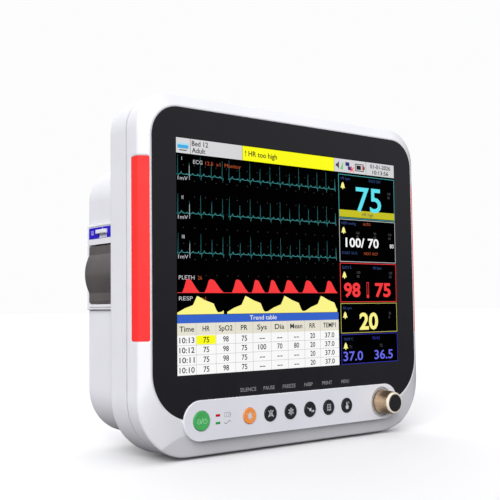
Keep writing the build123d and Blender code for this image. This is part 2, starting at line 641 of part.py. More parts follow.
def make_battery_latch():
    """Coin-turned catch: a slotted disc on a short spindle with a tongue behind the door."""
    x = LATCH_X - 5
    with BuildPart() as latch:
        rod_y(x, LATCH_Z, 9.0, REAR_Y - 1.75, REAR_Y)
        rod_y(x, LATCH_Z, 3.0, REAR_Y - 5.4, REAR_Y - 1.75)
        block(x - 3.5, x + 12.6, REAR_Y - 5.4, REAR_Y - 3.1, LATCH_Z - 3.5, LATCH_Z + 3.5)
        block(x - 7, x + 7, REAR_Y - 1.1, REAR_Y + 1, LATCH_Z - 0.9, LATCH_Z + 0.9, Mode.SUBTRACT)
    save(latch, "battery_latch")


# ---------------------------------------------------------------- rear connectors
def make_rear_panel():
    """Metal plate that closes the floor of the connector recess."""
    with BuildPart() as panel:
        with BuildSketch(front_plane(BAY_FLOOR_Y)):
            with Locations(((BAY_X0 + BAY_X1) / 2, (BAY_Z0 + BAY_Z1) / 2)):
                Rectangle(BAY_X1 - BAY_X0 + 5, BAY_Z1 - BAY_Z0 + 5)
            with Locations((INLET_X, INLET_Z)):
                Rectangle(27.6, 19.6, mode=Mode.SUBTRACT)
            with Locations((44, 80)):
                Rectangle(16.2, 13.7, mode=Mode.SUBTRACT)
            with Locations((84, 80)):
                Circle(3.05, mode=Mode.SUBTRACT)
            with Locations((78, 51), (95, 51)):
                Circle(5.6, mode=Mode.SUBTRACT)
        extrude(amount=2)
    save(panel, "rear_panel")


def make_power_inlet():
    """Recessed three-pole mains inlet with a rounded flange."""
    with BuildPart() as inlet:
        with BuildSketch(front_plane(BAY_FLOOR_Y)):
            with Locations((INLET_X, INLET_Z)):
                Rectangle(27.4, 19.4)
        extrude(amount=24)
        with BuildSketch(front_plane(BAY_FLOOR_Y + 2.4)):
            with Locations((INLET_X, INLET_Z)):
                RectangleRounded(33, 26, 3)
        extrude(amount=2.4)
        with BuildSketch(front_plane(BAY_FLOOR_Y + 2.4)) as mouth:
            with Locations((INLET_X, INLET_Z)):
                Rectangle(24.4, 16.4)
            chamfer(mouth.vertices().group_by(Axis.Y)[-1], 4.5)
        extrude(amount=18.4, mode=Mode.SUBTRACT)
    save(inlet, "power_inlet")


def make_inlet_pins():
    with BuildPart() as pins:
        for dx, dz in [(-7, -2.0), (0, 2.0), (7, -2.0)]:
            x, z = INLET_X + dx, INLET_Z + dz
            block(x - 1, x + 1, BAY_FLOOR_Y - 16, BAY_FLOOR_Y - 3, z - 2, z + 2)
    save(pins, "inlet_pins")


def make_earth_post():
    """Equipotential stud with a hexagonal base and nut."""
    with BuildPart() as post:
        rod_y(84, 80, 3.0, BAY_FLOOR_Y - 6, REAR_Y - 0.6)
        with BuildSketch(front_plane(BAY_FLOOR_Y + 2.5)):
            with Locations((84, 80)):
                RegularPolygon(5.5, 6)
        extrude(amount=2.5)
        with BuildSketch(front_plane(BAY_FLOOR_Y - 2)):
            with Locations((84, 80)):
                RegularPolygon(5.5, 6)
        extrude(amount=2.5)
    save(post, "earth_post")


def make_fuse_holders():
    with BuildPart() as holders:
        for x in (78, 95):
            rod_y(x, 51, 5.5, BAY_FLOOR_Y - 22, BAY_FLOOR_Y)
            rod_y(x, 51, 7.2, BAY_FLOOR_Y, BAY_FLOOR_Y + 6)
            block(x - 5, x + 5, BAY_FLOOR_Y + 4.6, BAY_FLOOR_Y + 7, 50.3, 51.7, Mode.SUBTRACT)
        chamfer(holders.faces().group_by(Axis.Y)[-1].edges().filter_by(GeomType.CIRCLE), 0.5)
    save(holders, "fuse_holders")


def make_network_port():
    with BuildPart() as port:
        block(36, 52, 49, BAY_FLOOR_Y + 0.8, 73.25, 86.75)
        block(38.1, 49.9, 56, BAY_FLOOR_Y + 2, 75, 83.4, Mode.SUBTRACT)
        block(41, 47, 56, BAY_FLOOR_Y + 2, 83, 85.4, Mode.SUBTRACT)
    save(port, "network_port")


# ---------------------------------------------------------------- patient sockets on the right side
SOCKET_FACE_X = PANEL_X + 4.0
SOCKET_DEPTH = 12.0
SOCKETS = {  # name: places along y, z, bore radius, barrel radius
    "ecg_socket": ((PUMP_Y,), 220.0, 8.5, 11.5),
    "spo2_socket": ((PUMP_Y,), 186.0, 6.5, 9.5),
    "temp_sockets": ((PUMP_Y - 14, PUMP_Y + 14), 156.0, 3.2, 6.5),
    "nibp_port": ((PUMP_Y,), PUMP_Z, 3.0, 7.5),
}


def make_socket_panel():
    border = 3.0
    middle = ((PANEL_Y0 + PANEL_Y1) / 2, (PANEL_Z0 + PANEL_Z1) / 2)
    with BuildPart() as panel:
        with BuildSketch(side_plane(PANEL_X - 3)):
            with Locations(middle):
                Rectangle(PANEL_Y1 - PANEL_Y0 + 2 * border, PANEL_Z1 - PANEL_Z0 + 2 * border)
            for places, z, _, barrel_r in SOCKETS.values():
                with Locations([(y, z) for y in places]):
                    Circle(barrel_r + 0.1, mode=Mode.SUBTRACT)
        extrude(amount=3)
    save(panel, "socket_panel")


def make_socket(name):
    """Round socket: a barrel through the panel, a collar against it and a blind bore."""
    places, z, bore_r, barrel_r = SOCKETS[name]
    rear_x = 150.0
    with BuildPart() as socket:
        for y in places:
            rod("x", (rear_x + SOCKET_FACE_X) / 2, y, z, barrel_r, SOCKET_FACE_X - rear_x)
            rod("x", PANEL_X + 1.1, y, z, barrel_r + 2.5, 2.2)
        chamfer(socket.faces().group_by(Axis.X)[-1].edges(), 0.6)
        for y in places:
            rod("x", SOCKET_FACE_X - SOCKET_DEPTH / 2, y, z, bore_r, SOCKET_DEPTH, Mode.SUBTRACT)
    save(socket, name)


# ---------------------------------------------------------------- recorder on the left side
DOOR_PIN_X, DOOR_PIN_Z = REC_X + BARREL_R, DOOR_Z0 + BARREL_R
REC_BACK_X = REC_X + 8.5
BAND_Z0, BAND_Z1 = REC_Z1 - 15.0, REC_Z1 - 3.4  # coloured strip around the latch
REC_LINES = (REC_Z0 + 2.4, REC_Z1 - 2.4)  # fine grooves across the frame's face
LATCH_SLOT_Z0, LATCH_SLOT_Z1 = BAND_Z0 + 4.4, BAND_Z0 + 9.5
LATCH_WELL_Z0, LATCH_WELL_DEPTH = BAND_Z0 + 0.3, 2.2  # finger recess under the catch
LATCH_W, LATCH_TRAVEL = 18.6, 3.0


def make_recorder_frame():
    """Deep white frame with the door opening, the latch slot and a recess for its strip."""
    with BuildPart() as frame:
        block(REC_X, REC_BACK_X, REC_Y0, REC_Y1, REC_Z0, REC_Z1)
        fillet(frame.faces().sort_by(Axis.X)[0].edges(), 1.2)
        y0, y1 = DOOR_Y0 - 0.6, DOOR_Y1 + 0.6
        block(REC_X - 1, REC_BACK_X + 1, y0, y1, DOOR_Z0 - 0.5, DOOR_Z1 + 1.7, Mode.SUBTRACT)
        block(REC_X - 1, REC_X + 1, DOOR_Y0, DOOR_Y1, BAND_Z0, BAND_Z1, Mode.SUBTRACT)
        for z in REC_LINES:
            block(REC_X - 1, REC_X + 1.5, REC_Y0 - 1, DOOR_Y1, z - 0.5, z + 0.5, Mode.SUBTRACT)
        y0, y1 = REC_MID_Y - LATCH_W / 2, REC_MID_Y + LATCH_W / 2
        block(REC_X - 1, REC_X + LATCH_WELL_DEPTH, y0, y1, LATCH_WELL_Z0, LATCH_SLOT_Z0, Mode.SUBTRACT)
        block(REC_X, REC_BACK_X + 1, y0, y1, LATCH_SLOT_Z0, LATCH_SLOT_Z1, Mode.SUBTRACT)
        rod_y(DOOR_PIN_X, DOOR_PIN_Z, PIN_R + 0.02, DOOR_Y0 - 3, DOOR_Y1 + 3, Mode.SUBTRACT)
    save(frame, "recorder_frame")


def make_recorder_faceplate():
    with BuildPart() as plate:
        block(REC_X - 0.3, REC_X + 1, DOOR_Y0 + 0.1, DOOR_Y1 - 0.1, BAND_Z0 + 0.1, BAND_Z1 - 0.1)
        y0, y1 = REC_MID_Y - LATCH_W / 2, REC_MID_Y + LATCH_W / 2
        block(REC_X - 1, REC_X + 2, y0, y1, LATCH_WELL_Z0, LATCH_SLOT_Z1, Mode.SUBTRACT)
    save(plate, "recorder_faceplate")


def make_recorder_latch():
    """Sliding catch: a cap over the slot, a stem through it and a plate behind the frame."""
    half = LATCH_W / 2
    with BuildPart() as latch:
        y0, y1 = REC_MID_Y - half - 1.2, REC_MID_Y + half + 1.2
        block(REC_X - 3.2, REC_X - 0.5, y0, y1, BAND_Z0 + 4.6, BAND_Z0 + 8.8)
        fillet(latch.faces().sort_by(Axis.X)[0].edges(), 0.9)
        y0, y1 = REC_MID_Y - half + 1, REC_MID_Y + half - 1
        block(REC_X - 0.5, REC_BACK_X + 0.4, y0, y1, BAND_Z0 + 4.7, LATCH_SLOT_Z1 - LATCH_TRAVEL - 0.3)
        block(REC_BACK_X + 0.4, REC_BACK_X + 2, REC_MID_Y - 14, REC_MID_Y + 14, REC_Z1 - 18.5, REC_Z1 - 8)
    save(latch, "recorder_latch")


def make_recorder_door():
    """Hinged window with a barrel at its foot, a swelling over the roll and two roller arms."""
    thin = 2.0
    inner_x = REC_X + DOOR_T
    with BuildPart() as bulge:
        rod_y(BULGE_X, BULGE_Z, BULGE_R, DOOR_Y0, DOOR_Y1)
        block(inner_x, BULGE_X + BULGE_R + 1, DOOR_Y0, DOOR_Y1, 100, 260, Mode.SUBTRACT)
    with BuildPart() as door:
        block(REC_X, inner_x, DOOR_Y0, DOOR_Y1, DOOR_PIN_Z, DOOR_Z1)
        add(bulge.part)
        rod_y(BULGE_X, BULGE_Z, BULGE_R - thin, DOOR_Y0 + thin, DOOR_Y1 - thin, Mode.SUBTRACT)
        rod_y(DOOR_PIN_X, DOOR_PIN_Z, BARREL_R, DOOR_Y0, DOOR_Y1)
        for y in (DOOR_Y0 + 1.4, DOOR_Y1 - 3.9):
            block(inner_x - 1, PLATEN_X + 4, y, y + 2.5, PLATEN_Z - 6, PLATEN_Z + 5.5)
        rod_y(PLATEN_X, PLATEN_Z, PLATEN_SHAFT_R + PIN_FIT, DOOR_Y0, DOOR_Y1, Mode.SUBTRACT)
        rod_y(DOOR_PIN_X, DOOR_PIN_Z, PIN_R + PIN_FIT, DOOR_Y0 - 1, DOOR_Y1 + 1, Mode.SUBTRACT)
    save(door, "recorder_door")


def make_hinge_pins():
    """Steel pins of the handle, the recorder door and the battery door."""
    length = HANDLE_ARM_W + 8.4
    with BuildPart() as pins:
        for side in (-1, 1):
            middle = side * (HANDLE_X - HANDLE_ARM_W / 2 + 1 + length / 2)
            rod("x", middle, HANDLE_Y, HANDLE_Z, HANDLE_PIN_R, length)
        rod_y(DOOR_PIN_X, DOOR_PIN_Z, PIN_R, DOOR_Y0 - 2.8, DOOR_Y1 + 2.8)
        rod("z", BATT_PIN_X, BATT_PIN_Y, LATCH_Z, PIN_R, 71)
    save(pins, "hinge_pins")


def make_platen_roller():
    """Rubber roller on a shaft that turns in the two arms of the door."""
    with BuildPart() as roller:
        rod_y(PLATEN_X, PLATEN_Z, PLATEN_R, REC_MID_Y - PAPER_W / 2, REC_MID_Y + PAPER_W / 2)
        rod_y(PLATEN_X, PLATEN_Z, PLATEN_SHAFT_R, REC_MID_Y - 29.5, REC_MID_Y + 29.5)
    save(roller, "platen_roller")


def make_paper_roll():
    y0, y1 = REC_MID_Y - PAPER_W / 2, REC_MID_Y + PAPER_W / 2
    with BuildPart() as roll:
        rod_y(ROLL_X, ROLL_Z, ROLL_R, y0, y1)
        rod_y(ROLL_X, ROLL_Z, CORE_R, y0, y1, Mode.SUBTRACT)
    save(roll, "paper_roll")


def make_recorder_tub():
    """Open box behind the frame, with a curved cradle that the roll drops into."""
    wall = 2.0
    y0, y1, z0, z1 = REC_Y0 + 1, REC_Y1 - 1, REC_Z0 + 2, REC_Z1 - 2
    depth_x = -112.0
    with BuildPart() as tub:
        block(REC_BACK_X, depth_x, y0, y1, z0, z1)
        block(REC_BACK_X, depth_x - wall, y0 + wall, y1 - wall, ROLL_Z, z1 - wall, Mode.SUBTRACT)
        rod_y(ROLL_X, ROLL_Z, ROLL_R + 1, y0 + wall, y1 - wall, Mode.SUBTRACT)
    save(tub, "recorder_tub")


def make_print_head():
    x0 = PLATEN_X + PLATEN_R + 0.3
    with BuildPart() as head:
        block(x0, x0 + 8, REC_MID_Y - 26, REC_MID_Y + 26, 199, 213)
        block(x0 + 4, x0 + 8, REC_Y0 + 3, REC_Y1 - 3, 203, 213)
        fillet(head.edges().filter_by(Axis.Y).sort_by(Axis.X)[0], 1)
    save(head, "print_head")


def make_feed_motor():
    with BuildPart() as motor:
        rod_y(-130, 217, 9, 12, 46)
        rod_y(-130, 217, 2, 46, 54)
    save(motor, "feed_motor")


# ---------------------------------------------------------------- build every piece
front_skin = make_front_skin()
make_front_bezel(front_skin)
for side_name, side_sign in (("left", -1), ("right", 1)):
    make_alarm_light(side_sign, f"alarm_light_{side_name}", front_skin)
make_alarm_boards()
make_screen_surround()
make_lcd_panel()
make_control_panel()
for key_name, key_x, key_r in key_places():
    make_key(key_name, key_x, key_r)
make_key_board()
for light_name, light_z in zip(("power_light", "battery_light"), LIGHT_ZS):
    make_status_light(light_name, light_z)
make_knob_well()
make_encoder_body()
make_encoder_plunger()
make_encoder_shaft()
make_knob_skirt()
make_knob_ring()
make_knob_cap()
make_rear_shell()
make_case_screws()
make_mount_inserts()
make_feet()
make_carry_handle()
make_handle_grip()
make_chassis()
make_main_board()
make_power_supply()
make_parameter_module()
make_nibp_pump()
make_speaker()
make_battery()
make_battery_door()
make_battery_latch()
make_rear_panel()
make_power_inlet()
make_inlet_pins()
make_earth_post()
make_fuse_holders()
make_network_port()
make_socket_panel()
for socket_name in SOCKETS:
    make_socket(socket_name)
make_recorder_frame()
make_recorder_faceplate()
make_recorder_latch()
make_recorder_door()
make_hinge_pins()
make_platen_roller()
make_paper_roll()
make_recorder_tub()
make_print_head()
make_feed_motor()
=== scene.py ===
import json
import math

import bmesh
import bpy
from mathutils import Matrix, Vector


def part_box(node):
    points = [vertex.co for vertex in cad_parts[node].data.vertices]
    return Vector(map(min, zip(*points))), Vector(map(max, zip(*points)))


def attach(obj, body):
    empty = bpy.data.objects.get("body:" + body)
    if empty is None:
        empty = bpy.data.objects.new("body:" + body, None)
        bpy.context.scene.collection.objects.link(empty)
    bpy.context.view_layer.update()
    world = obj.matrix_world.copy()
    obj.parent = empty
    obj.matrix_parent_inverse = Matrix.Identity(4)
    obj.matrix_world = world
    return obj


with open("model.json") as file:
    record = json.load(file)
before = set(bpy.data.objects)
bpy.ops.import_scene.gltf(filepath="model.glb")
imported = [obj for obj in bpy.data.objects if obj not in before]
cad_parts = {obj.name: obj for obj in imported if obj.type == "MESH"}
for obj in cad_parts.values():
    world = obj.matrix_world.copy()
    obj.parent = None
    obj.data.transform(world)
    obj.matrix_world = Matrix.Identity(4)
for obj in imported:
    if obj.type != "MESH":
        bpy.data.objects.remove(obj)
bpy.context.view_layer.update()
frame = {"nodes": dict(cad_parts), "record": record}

MM = 0.001
CAP_HEIGHT = 0.682  # of the built-in lettering, at size 1
nodes = frame["nodes"]


# ---------------------------------------------------------------- camera, floor and light
def make_camera():
    """Camera at the object's left front, low and looking slightly up."""
    yaw, pitch, roll = math.radians(38.01), math.radians(3.81), math.radians(-0.683)
    forward = Vector((math.sin(yaw) * math.cos(pitch), math.cos(yaw) * math.cos(pitch), math.sin(pitch)))
    level = Vector((math.cos(yaw), -math.sin(yaw), 0))
    up = level.cross(forward)
    right = math.cos(roll) * level + math.sin(roll) * up
    up = right.cross(forward)
    data = bpy.data.cameras.new("camera")
    data.lens = 62.68
    data.clip_start = 0.05
    camera = bpy.data.objects.new("camera", data)
    axes = Matrix((right, up, -forward)).transposed()
    camera.matrix_world = Matrix.Translation((-0.6048, -0.7543, 0.1453)) @ axes.to_4x4()
    bpy.context.scene.collection.objects.link(camera)
    bpy.context.scene.camera = camera


def make_sun(name, direction, strength, angle_deg):
    """Soft light that comes from a direction, given from the object towards the light."""
    data = bpy.data.lights.new(name, "SUN")
    data.energy = strength
    data.angle = math.radians(angle_deg)
    lamp = bpy.data.objects.new(name, data)
    lamp.rotation_euler = Vector(direction).to_track_quat("Z", "Y").to_euler()
    bpy.context.scene.collection.objects.link(lamp)


def make_world():
    """Pale room: brighter above than at the horizon, and plain white behind the object."""
    world = bpy.data.worlds.new("studio")
    bpy.context.scene.world = world
    world.use_nodes = True
    tree = world.node_tree
    tree.nodes.clear()
    coords = tree.nodes.new("ShaderNodeTexCoord")
    split = tree.nodes.new("ShaderNodeSeparateXYZ")
    ramp = tree.nodes.new("ShaderNodeValToRGB")
    room = tree.nodes.new("ShaderNodeBackground")
    plain = tree.nodes.new("ShaderNodeBackground")
    path = tree.nodes.new("ShaderNodeLightPath")
    mix = tree.nodes.new("ShaderNodeMixShader")
    out = tree.nodes.new("ShaderNodeOutputWorld")
    ramp.color_ramp.elements[0].position = 0.0
    ramp.color_ramp.elements[0].color = (0.36, 0.36, 0.38, 1)
    ramp.color_ramp.elements[1].position = 0.7
    ramp.color_ramp.elements[1].color = (0.74, 0.74, 0.76, 1)
    plain.inputs["Color"].default_value = (0.98, 0.98, 0.985, 1)
    links = tree.links
    links.new(coords.outputs["Generated"], split.inputs[0])
    links.new(split.outputs["Z"], ramp.inputs[0])
    links.new(ramp.outputs["Color"], room.inputs["Color"])
    links.new(path.outputs["Is Camera Ray"], mix.inputs[0])
    links.new(room.outputs[0], mix.inputs[1])
    links.new(plain.outputs[0], mix.inputs[2])
    links.new(mix.outputs[0], out.inputs["Surface"])


def make_floor():
    mesh = bpy.data.meshes.new("floor")
    reach = 30.0
    corners = [(-reach, -reach, 0), (reach, -reach, 0), (reach, reach, 0), (-reach, reach, 0)]
    mesh.from_pydata(corners, [], [(0, 1, 2, 3)])
    floor = bpy.data.objects.new("floor", mesh)
    bpy.context.scene.collection.objects.link(floor)
    mesh.materials.append(floor_paper())


def floor_paper():
    """Pale paper that throws only part of its light back up at the object."""
    material, tree, bsdf = shader("floor_paper")
    tone = ramp_of(tree, noise(tree, 3, 2), (0.92, 0.92, 0.925), (0.94, 0.94, 0.945))
    tree.links.new(tone, bsdf.inputs["Base Color"])
    bsdf.inputs["Roughness"].default_value = 0.9
    bsdf.inputs["Specular IOR Level"].default_value = 0.1
    shaded = tree.nodes.new("ShaderNodeBsdfDiffuse")
    shaded.inputs["Color"].default_value = (0.16, 0.16, 0.165, 1)
    path = tree.nodes.new("ShaderNodeLightPath")
    mix = tree.nodes.new("ShaderNodeMixShader")
    tree.links.new(path.outputs["Is Camera Ray"], mix.inputs[0])
    tree.links.new(shaded.outputs[0], mix.inputs[1])
    tree.links.new(bsdf.outputs[0], mix.inputs[2])
    tree.links.new(mix.outputs[0], tree.nodes["Material Output"].inputs["Surface"])
    return material


# ---------------------------------------------------------------- thin prints and films
class Print:
    """Thin shapes of ink or film on a flat face, placed in millimetres right and down of its corner."""

    def __init__(self, name, corner, right, down, layer=0.05):
        self.name = name
        self.corner = Vector(corner)
        self.right = Vector(right)
        self.down = Vector(down)
        self.out = self.down.cross(self.right)
        self.layer = layer
        self.mesh = bmesh.new()
        self.inks = []

    def place(self, x, y, height):
        return self.corner + (self.right * x + self.down * y + self.out * height) * MM

    def ink(self, finish):
        if finish not in self.inks:
            self.inks.append(finish)
        return self.inks.index(finish)

    def heights(self, level):
        return level * self.layer, (level + 1) * self.layer

    def shape(self, points, finish, level=0):
        """Closed outline, filled, one layer thick."""
        low, high = self.heights(level)
        area = sum(a[0] * b[1] - b[0] * a[1] for a, b in zip(points, points[1:] + points[:1]))
        if area > 0:
            points = points[::-1]
        base = [self.mesh.verts.new(self.place(x, y, low)) for x, y in points]
        top = [self.mesh.verts.new(self.place(x, y, high)) for x, y in points]
        faces = [self.mesh.faces.new(top), self.mesh.faces.new(base[::-1])]
        for i in range(len(points)):
            j = (i + 1) % len(points)
            faces.append(self.mesh.faces.new((base[i], base[j], top[j], top[i])))
        for face in faces:
            face.material_index = self.ink(finish)

    def block(self, x0, y0, x1, y1, finish, level=0):
        self.shape([(x0, y0), (x1, y0), (x1, y1), (x0, y1)], finish, level)

    def frame(self, x0, y0, x1, y1, width, finish, level=0):
        """Four thin bars around a field."""
        self.block(x0, y0, x1, y0 + width, finish, level)
        self.block(x0, y1 - width, x1, y1, finish, level)
        self.block(x0, y0 + width, x0 + width, y1 - width, finish, level)
        self.block(x1 - width, y0 + width, x1, y1 - width, finish, level)

    def line(self, points, width, finish, level=0, closed=False):
        """Ribbon along the points, with mitred corners."""
        spots = [Vector(p) for p in points]
        if closed:
            spots = [spots[-1]] + spots + [spots[0]]
        sides = ([], [])
        first, last = (1, len(spots) - 1) if closed else (0, len(spots))
        for i in range(first, last):
            before = spots[i] - spots[i - 1] if i else spots[1] - spots[0]
            after = spots[i + 1] - spots[i] if i + 1 < len(spots) else before
            across = (before.normalized() + after.normalized()).normalized()
            across = Vector((-across.y, across.x))
            stretch = max(0.5, abs(across.dot(Vector((-before.y, before.x)).normalized())))
            step = across * width / 2 / stretch
            sides[0].append(tuple(spots[i] + step))
            sides[1].append(tuple(spots[i] - step))
        count = len(sides[0])
        low, high = self.heights(level)
        ring = []
        for i in range(count):
            corners = [(sides[0][i], low), (sides[0][i], high), (sides[1][i], high), (sides[1][i], low)]
            ring.append([self.mesh.verts.new(self.place(*spot, height)) for spot, height in corners])
        faces = []
        for i in range(count if closed else count - 1):
            a, b = ring[i], ring[(i + 1) % count]
            faces += [self.mesh.faces.new((a[k], a[(k + 1) % 4], b[(k + 1) % 4], b[k])) for k in range(4)]
        if not closed:
            faces += [self.mesh.faces.new(ring[0][::-1]), self.mesh.faces.new(ring[-1])]
        for face in faces:
            face.material_index = self.ink(finish)

    def disc(self, x, y, radius, finish, level=0, count=20):
        turn = 2 * math.pi / count
        spots = [(x + radius * math.cos(i * turn), y + radius * math.sin(i * turn)) for i in range(count)]
        self.shape(spots, finish, level)

    def ring(self, x, y, radius, width, finish, level=0, start=0, sweep=360):
        count = max(6, round(28 * sweep / 360))
        steps = count if sweep == 360 else count + 1
        angles = [math.radians(start + sweep * i / count) for i in range(steps)]
        spots = [(x + radius * math.cos(a), y + radius * math.sin(a)) for a in angles]
        self.line(spots, width, finish, level, closed=sweep == 360)

    def words(self, text, x, y, height, finish, level=0, width=None, side="left", weight=0.0):
        """Plain lettering. y is its baseline, height that of a capital, and width squeezes the whole line."""
        curve = bpy.data.curves.new("words", "FONT")
        curve.body = text
        curve.resolution_u = 3
        curve.offset = weight
        curve.extrude = 0.5
        holder = bpy.data.objects.new("words", curve)
        mesh = bpy.data.meshes.new_from_object(holder)
        xs = [v.co.x for v in mesh.vertices]
        tall = height / CAP_HEIGHT
        wide = width / (max(xs) - min(xs)) if width else tall
        span = (max(xs) - min(xs)) * wide
        shift = {"left": 0.0, "middle": -span / 2, "right": -span}[side] - min(xs) * wide
        low = self.heights(level)[0]
        for v in mesh.vertices:
            depth = low + (v.co.z + 0.5) * self.layer
            v.co = self.place(x + shift + v.co.x * wide, y - v.co.y * tall, depth)
        for face in mesh.polygons:
            face.material_index = self.ink(finish)
        self.mesh.from_mesh(mesh)
        bpy.data.objects.remove(holder)
        bpy.data.curves.remove(curve)
        bpy.data.meshes.remove(mesh)

    def finish(self, body="case"):
        """Makes the piece, which rides on the body."""
        bmesh.ops.recalc_face_normals(self.mesh, faces=self.mesh.faces)
        mesh = bpy.data.meshes.new(self.name)
        self.mesh.to_mesh(mesh)
        self.mesh.free()
        for finish in self.inks:
            mesh.materials.append(finishes[finish])
        piece = bpy.data.objects.new(self.name, mesh)
        bpy.context.scene.collection.objects.link(piece)
        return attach(piece, body)


# ---------------------------------------------------------------- materials
def linear(red, green, blue):
    """Linear colour of an 8 bit display colour."""
    def one(value):
        share = value / 255
        return share / 12.92 if share <= 0.04045 else ((share + 0.055) / 1.055) ** 2.4
    return one(red), one(green), one(blue)


def shader(name):
    """New material with its tree emptied down to one shader."""
    material = bpy.data.materials.new(name)
    material.use_nodes = True
    tree = material.node_tree
    return material, tree, tree.nodes["Principled BSDF"]


def noise(tree, scale, detail=2.0, stretch=(1, 1, 1)):
    """Noise that lies in the piece's own coordinates, with features of about 1/scale metres."""
    coords = tree.nodes.new("ShaderNodeTexCoord")
    place = tree.nodes.new("ShaderNodeMapping")
    place.inputs["Scale"].default_value = stretch
    texture = tree.nodes.new("ShaderNodeTexNoise")
    texture.inputs["Scale"].default_value = scale
    texture.inputs["Detail"].default_value = detail
    tree.links.new(coords.outputs["Object"], place.inputs["Vector"])
    tree.links.new(place.outputs["Vector"], texture.inputs["Vector"])
    return texture.outputs["Fac"]


def ramp_of(tree, source, low, high, start=0.3, end=0.7):
    """Colour that goes from low to high as the source goes from start to end."""
    ramp = tree.nodes.new("ShaderNodeValToRGB")
    ramp.color_ramp.elements[0].position = start
    ramp.color_ramp.elements[0].color = (*low, 1)
    ramp.color_ramp.elements[1].position = end
    ramp.color_ramp.elements[1].color = (*high, 1)
    tree.links.new(source, ramp.inputs[0])
    return ramp.outputs["Color"]


def range_of(tree, source, low, high):
    """Number that goes from low to high over the middle of the noise."""
    change = tree.nodes.new("ShaderNodeMapRange")
    change.inputs["From Min"].default_value = 0.3
    change.inputs["From Max"].default_value = 0.7
    change.inputs["To Min"].default_value = low
    change.inputs["To Max"].default_value = high
    tree.links.new(source, change.inputs["Value"])
    return change.outputs["Result"]


def bumps(tree, bsdf, source, strength, distance, rounding=0.0):
    """Surface relief from the source, on edges rounded by the given radius."""
    relief = tree.nodes.new("ShaderNodeBump")
    relief.inputs["Strength"].default_value = strength
    relief.inputs["Distance"].default_value = distance
    tree.links.new(source, relief.inputs["Height"])
    if rounding:
        edge = tree.nodes.new("ShaderNodeBevel")
        edge.samples = 4
        edge.inputs["Radius"].default_value = rounding
        tree.links.new(edge.outputs["Normal"], relief.inputs["Normal"])
    tree.links.new(relief.outputs["Normal"], bsdf.inputs["Normal"])


def shade(color, factor):
    return tuple(min(1.0, channel * factor) for channel in color)


def plastic(name, color, rough, grain=900, bump=0.15, patches=14, spread=0.03, rounding=0.0004, gloss=0.5):
    """Moulded plastic: fine grain, faint broad patches of tone and uneven gloss."""
    material, tree, bsdf = shader(name)
    tone = ramp_of(tree, noise(tree, patches, 4), shade(color, 1 - spread), shade(color, 1 + spread))
    tree.links.new(tone, bsdf.inputs["Base Color"])
    dullness = range_of(tree, noise(tree, patches * 4, 3), rough - 0.04, rough + 0.06)
    tree.links.new(dullness, bsdf.inputs["Roughness"])
    bsdf.inputs["Specular IOR Level"].default_value = gloss
    bumps(tree, bsdf, noise(tree, grain, 1), bump, 0.0002, rounding)
    return material


def metal(name, color, rough, stretch=(1, 1, 1), grain=260, bump=0.08, spread=0.10):
    """Brushed or turned metal: the grain is drawn out by the stretch along each axis."""
    material, tree, bsdf = shader(name)
    lines = noise(tree, grain, 3, stretch)
    tone = ramp_of(tree, lines, shade(color, 1 - spread), shade(color, 1 + spread))
    tree.links.new(tone, bsdf.inputs["Base Color"])
    tree.links.new(range_of(tree, lines, rough - 0.06, rough + 0.08), bsdf.inputs["Roughness"])
    bsdf.inputs["Metallic"].default_value = 1.0
    bumps(tree, bsdf, lines, bump, 0.0001, 0.0003)
    return material


def rubber(name, color, rough=0.75):
    """Soft matt rubber with a fine stipple."""
    material = plastic(name, color, rough, grain=1400, bump=0.35, patches=30, spread=0.12, gloss=0.3)
    return material


def smoked(name):
    """Smoked see-through plastic with a slightly wavy face."""
    material, tree, bsdf = shader(name)
    tone = ramp_of(tree, noise(tree, 25, 2), (0.115, 0.100, 0.098), (0.150, 0.133, 0.130))
    tree.links.new(tone, bsdf.inputs["Base Color"])
    tree.links.new(range_of(tree, noise(tree, 60, 3), 0.16, 0.26), bsdf.inputs["Roughness"])
    bsdf.inputs["Transmission Weight"].default_value = 0.35
    bsdf.inputs["IOR"].default_value = 1.45
    bumps(tree, bsdf, noise(tree, 40, 1), 0.05, 0.0004, 0.0003)
    return material


def glowing(name, color, inner):
    """Coloured lens of which part of the colour is light from within."""
    material, tree, bsdf = shader(name)
    body = shade(color, 1 - inner)
    tone = ramp_of(tree, noise(tree, 18, 3), shade(body, 0.94), shade(body, 1.06))
    tree.links.new(tone, bsdf.inputs["Base Color"])
    tree.links.new(range_of(tree, noise(tree, 50, 2), 0.40, 0.48), bsdf.inputs["Roughness"])
    bsdf.inputs["Specular IOR Level"].default_value = 0.15
    bsdf.inputs["Emission Color"].default_value = (*color, 1)
    bsdf.inputs["Emission Strength"].default_value = inner
    bumps(tree, bsdf, noise(tree, 500, 1), 0.06, 0.0002, 0.0004)
    return material


def display_ink(name, color):
    """One colour of the lit picture, with the faint unevenness of its backlight."""
    material, tree, bsdf = shader(name)
    tone = ramp_of(tree, noise(tree, 9, 2), shade(color, 0.94), color)
    bsdf.inputs["Base Color"].default_value = (0.01, 0.01, 0.01, 1)
    bsdf.inputs["Roughness"].default_value = 0.4
    bsdf.inputs["Specular IOR Level"].default_value = 0.1
    tree.links.new(tone, bsdf.inputs["Emission Color"])
    bsdf.inputs["Emission Strength"].default_value = 1.0
    return material


def printed_ink(name, color, rough=0.5):
    """Screen-printed ink with a slightly uneven film."""
    return plastic(name, color, rough, grain=2500, bump=0.1, patches=120, spread=0.05, rounding=0)


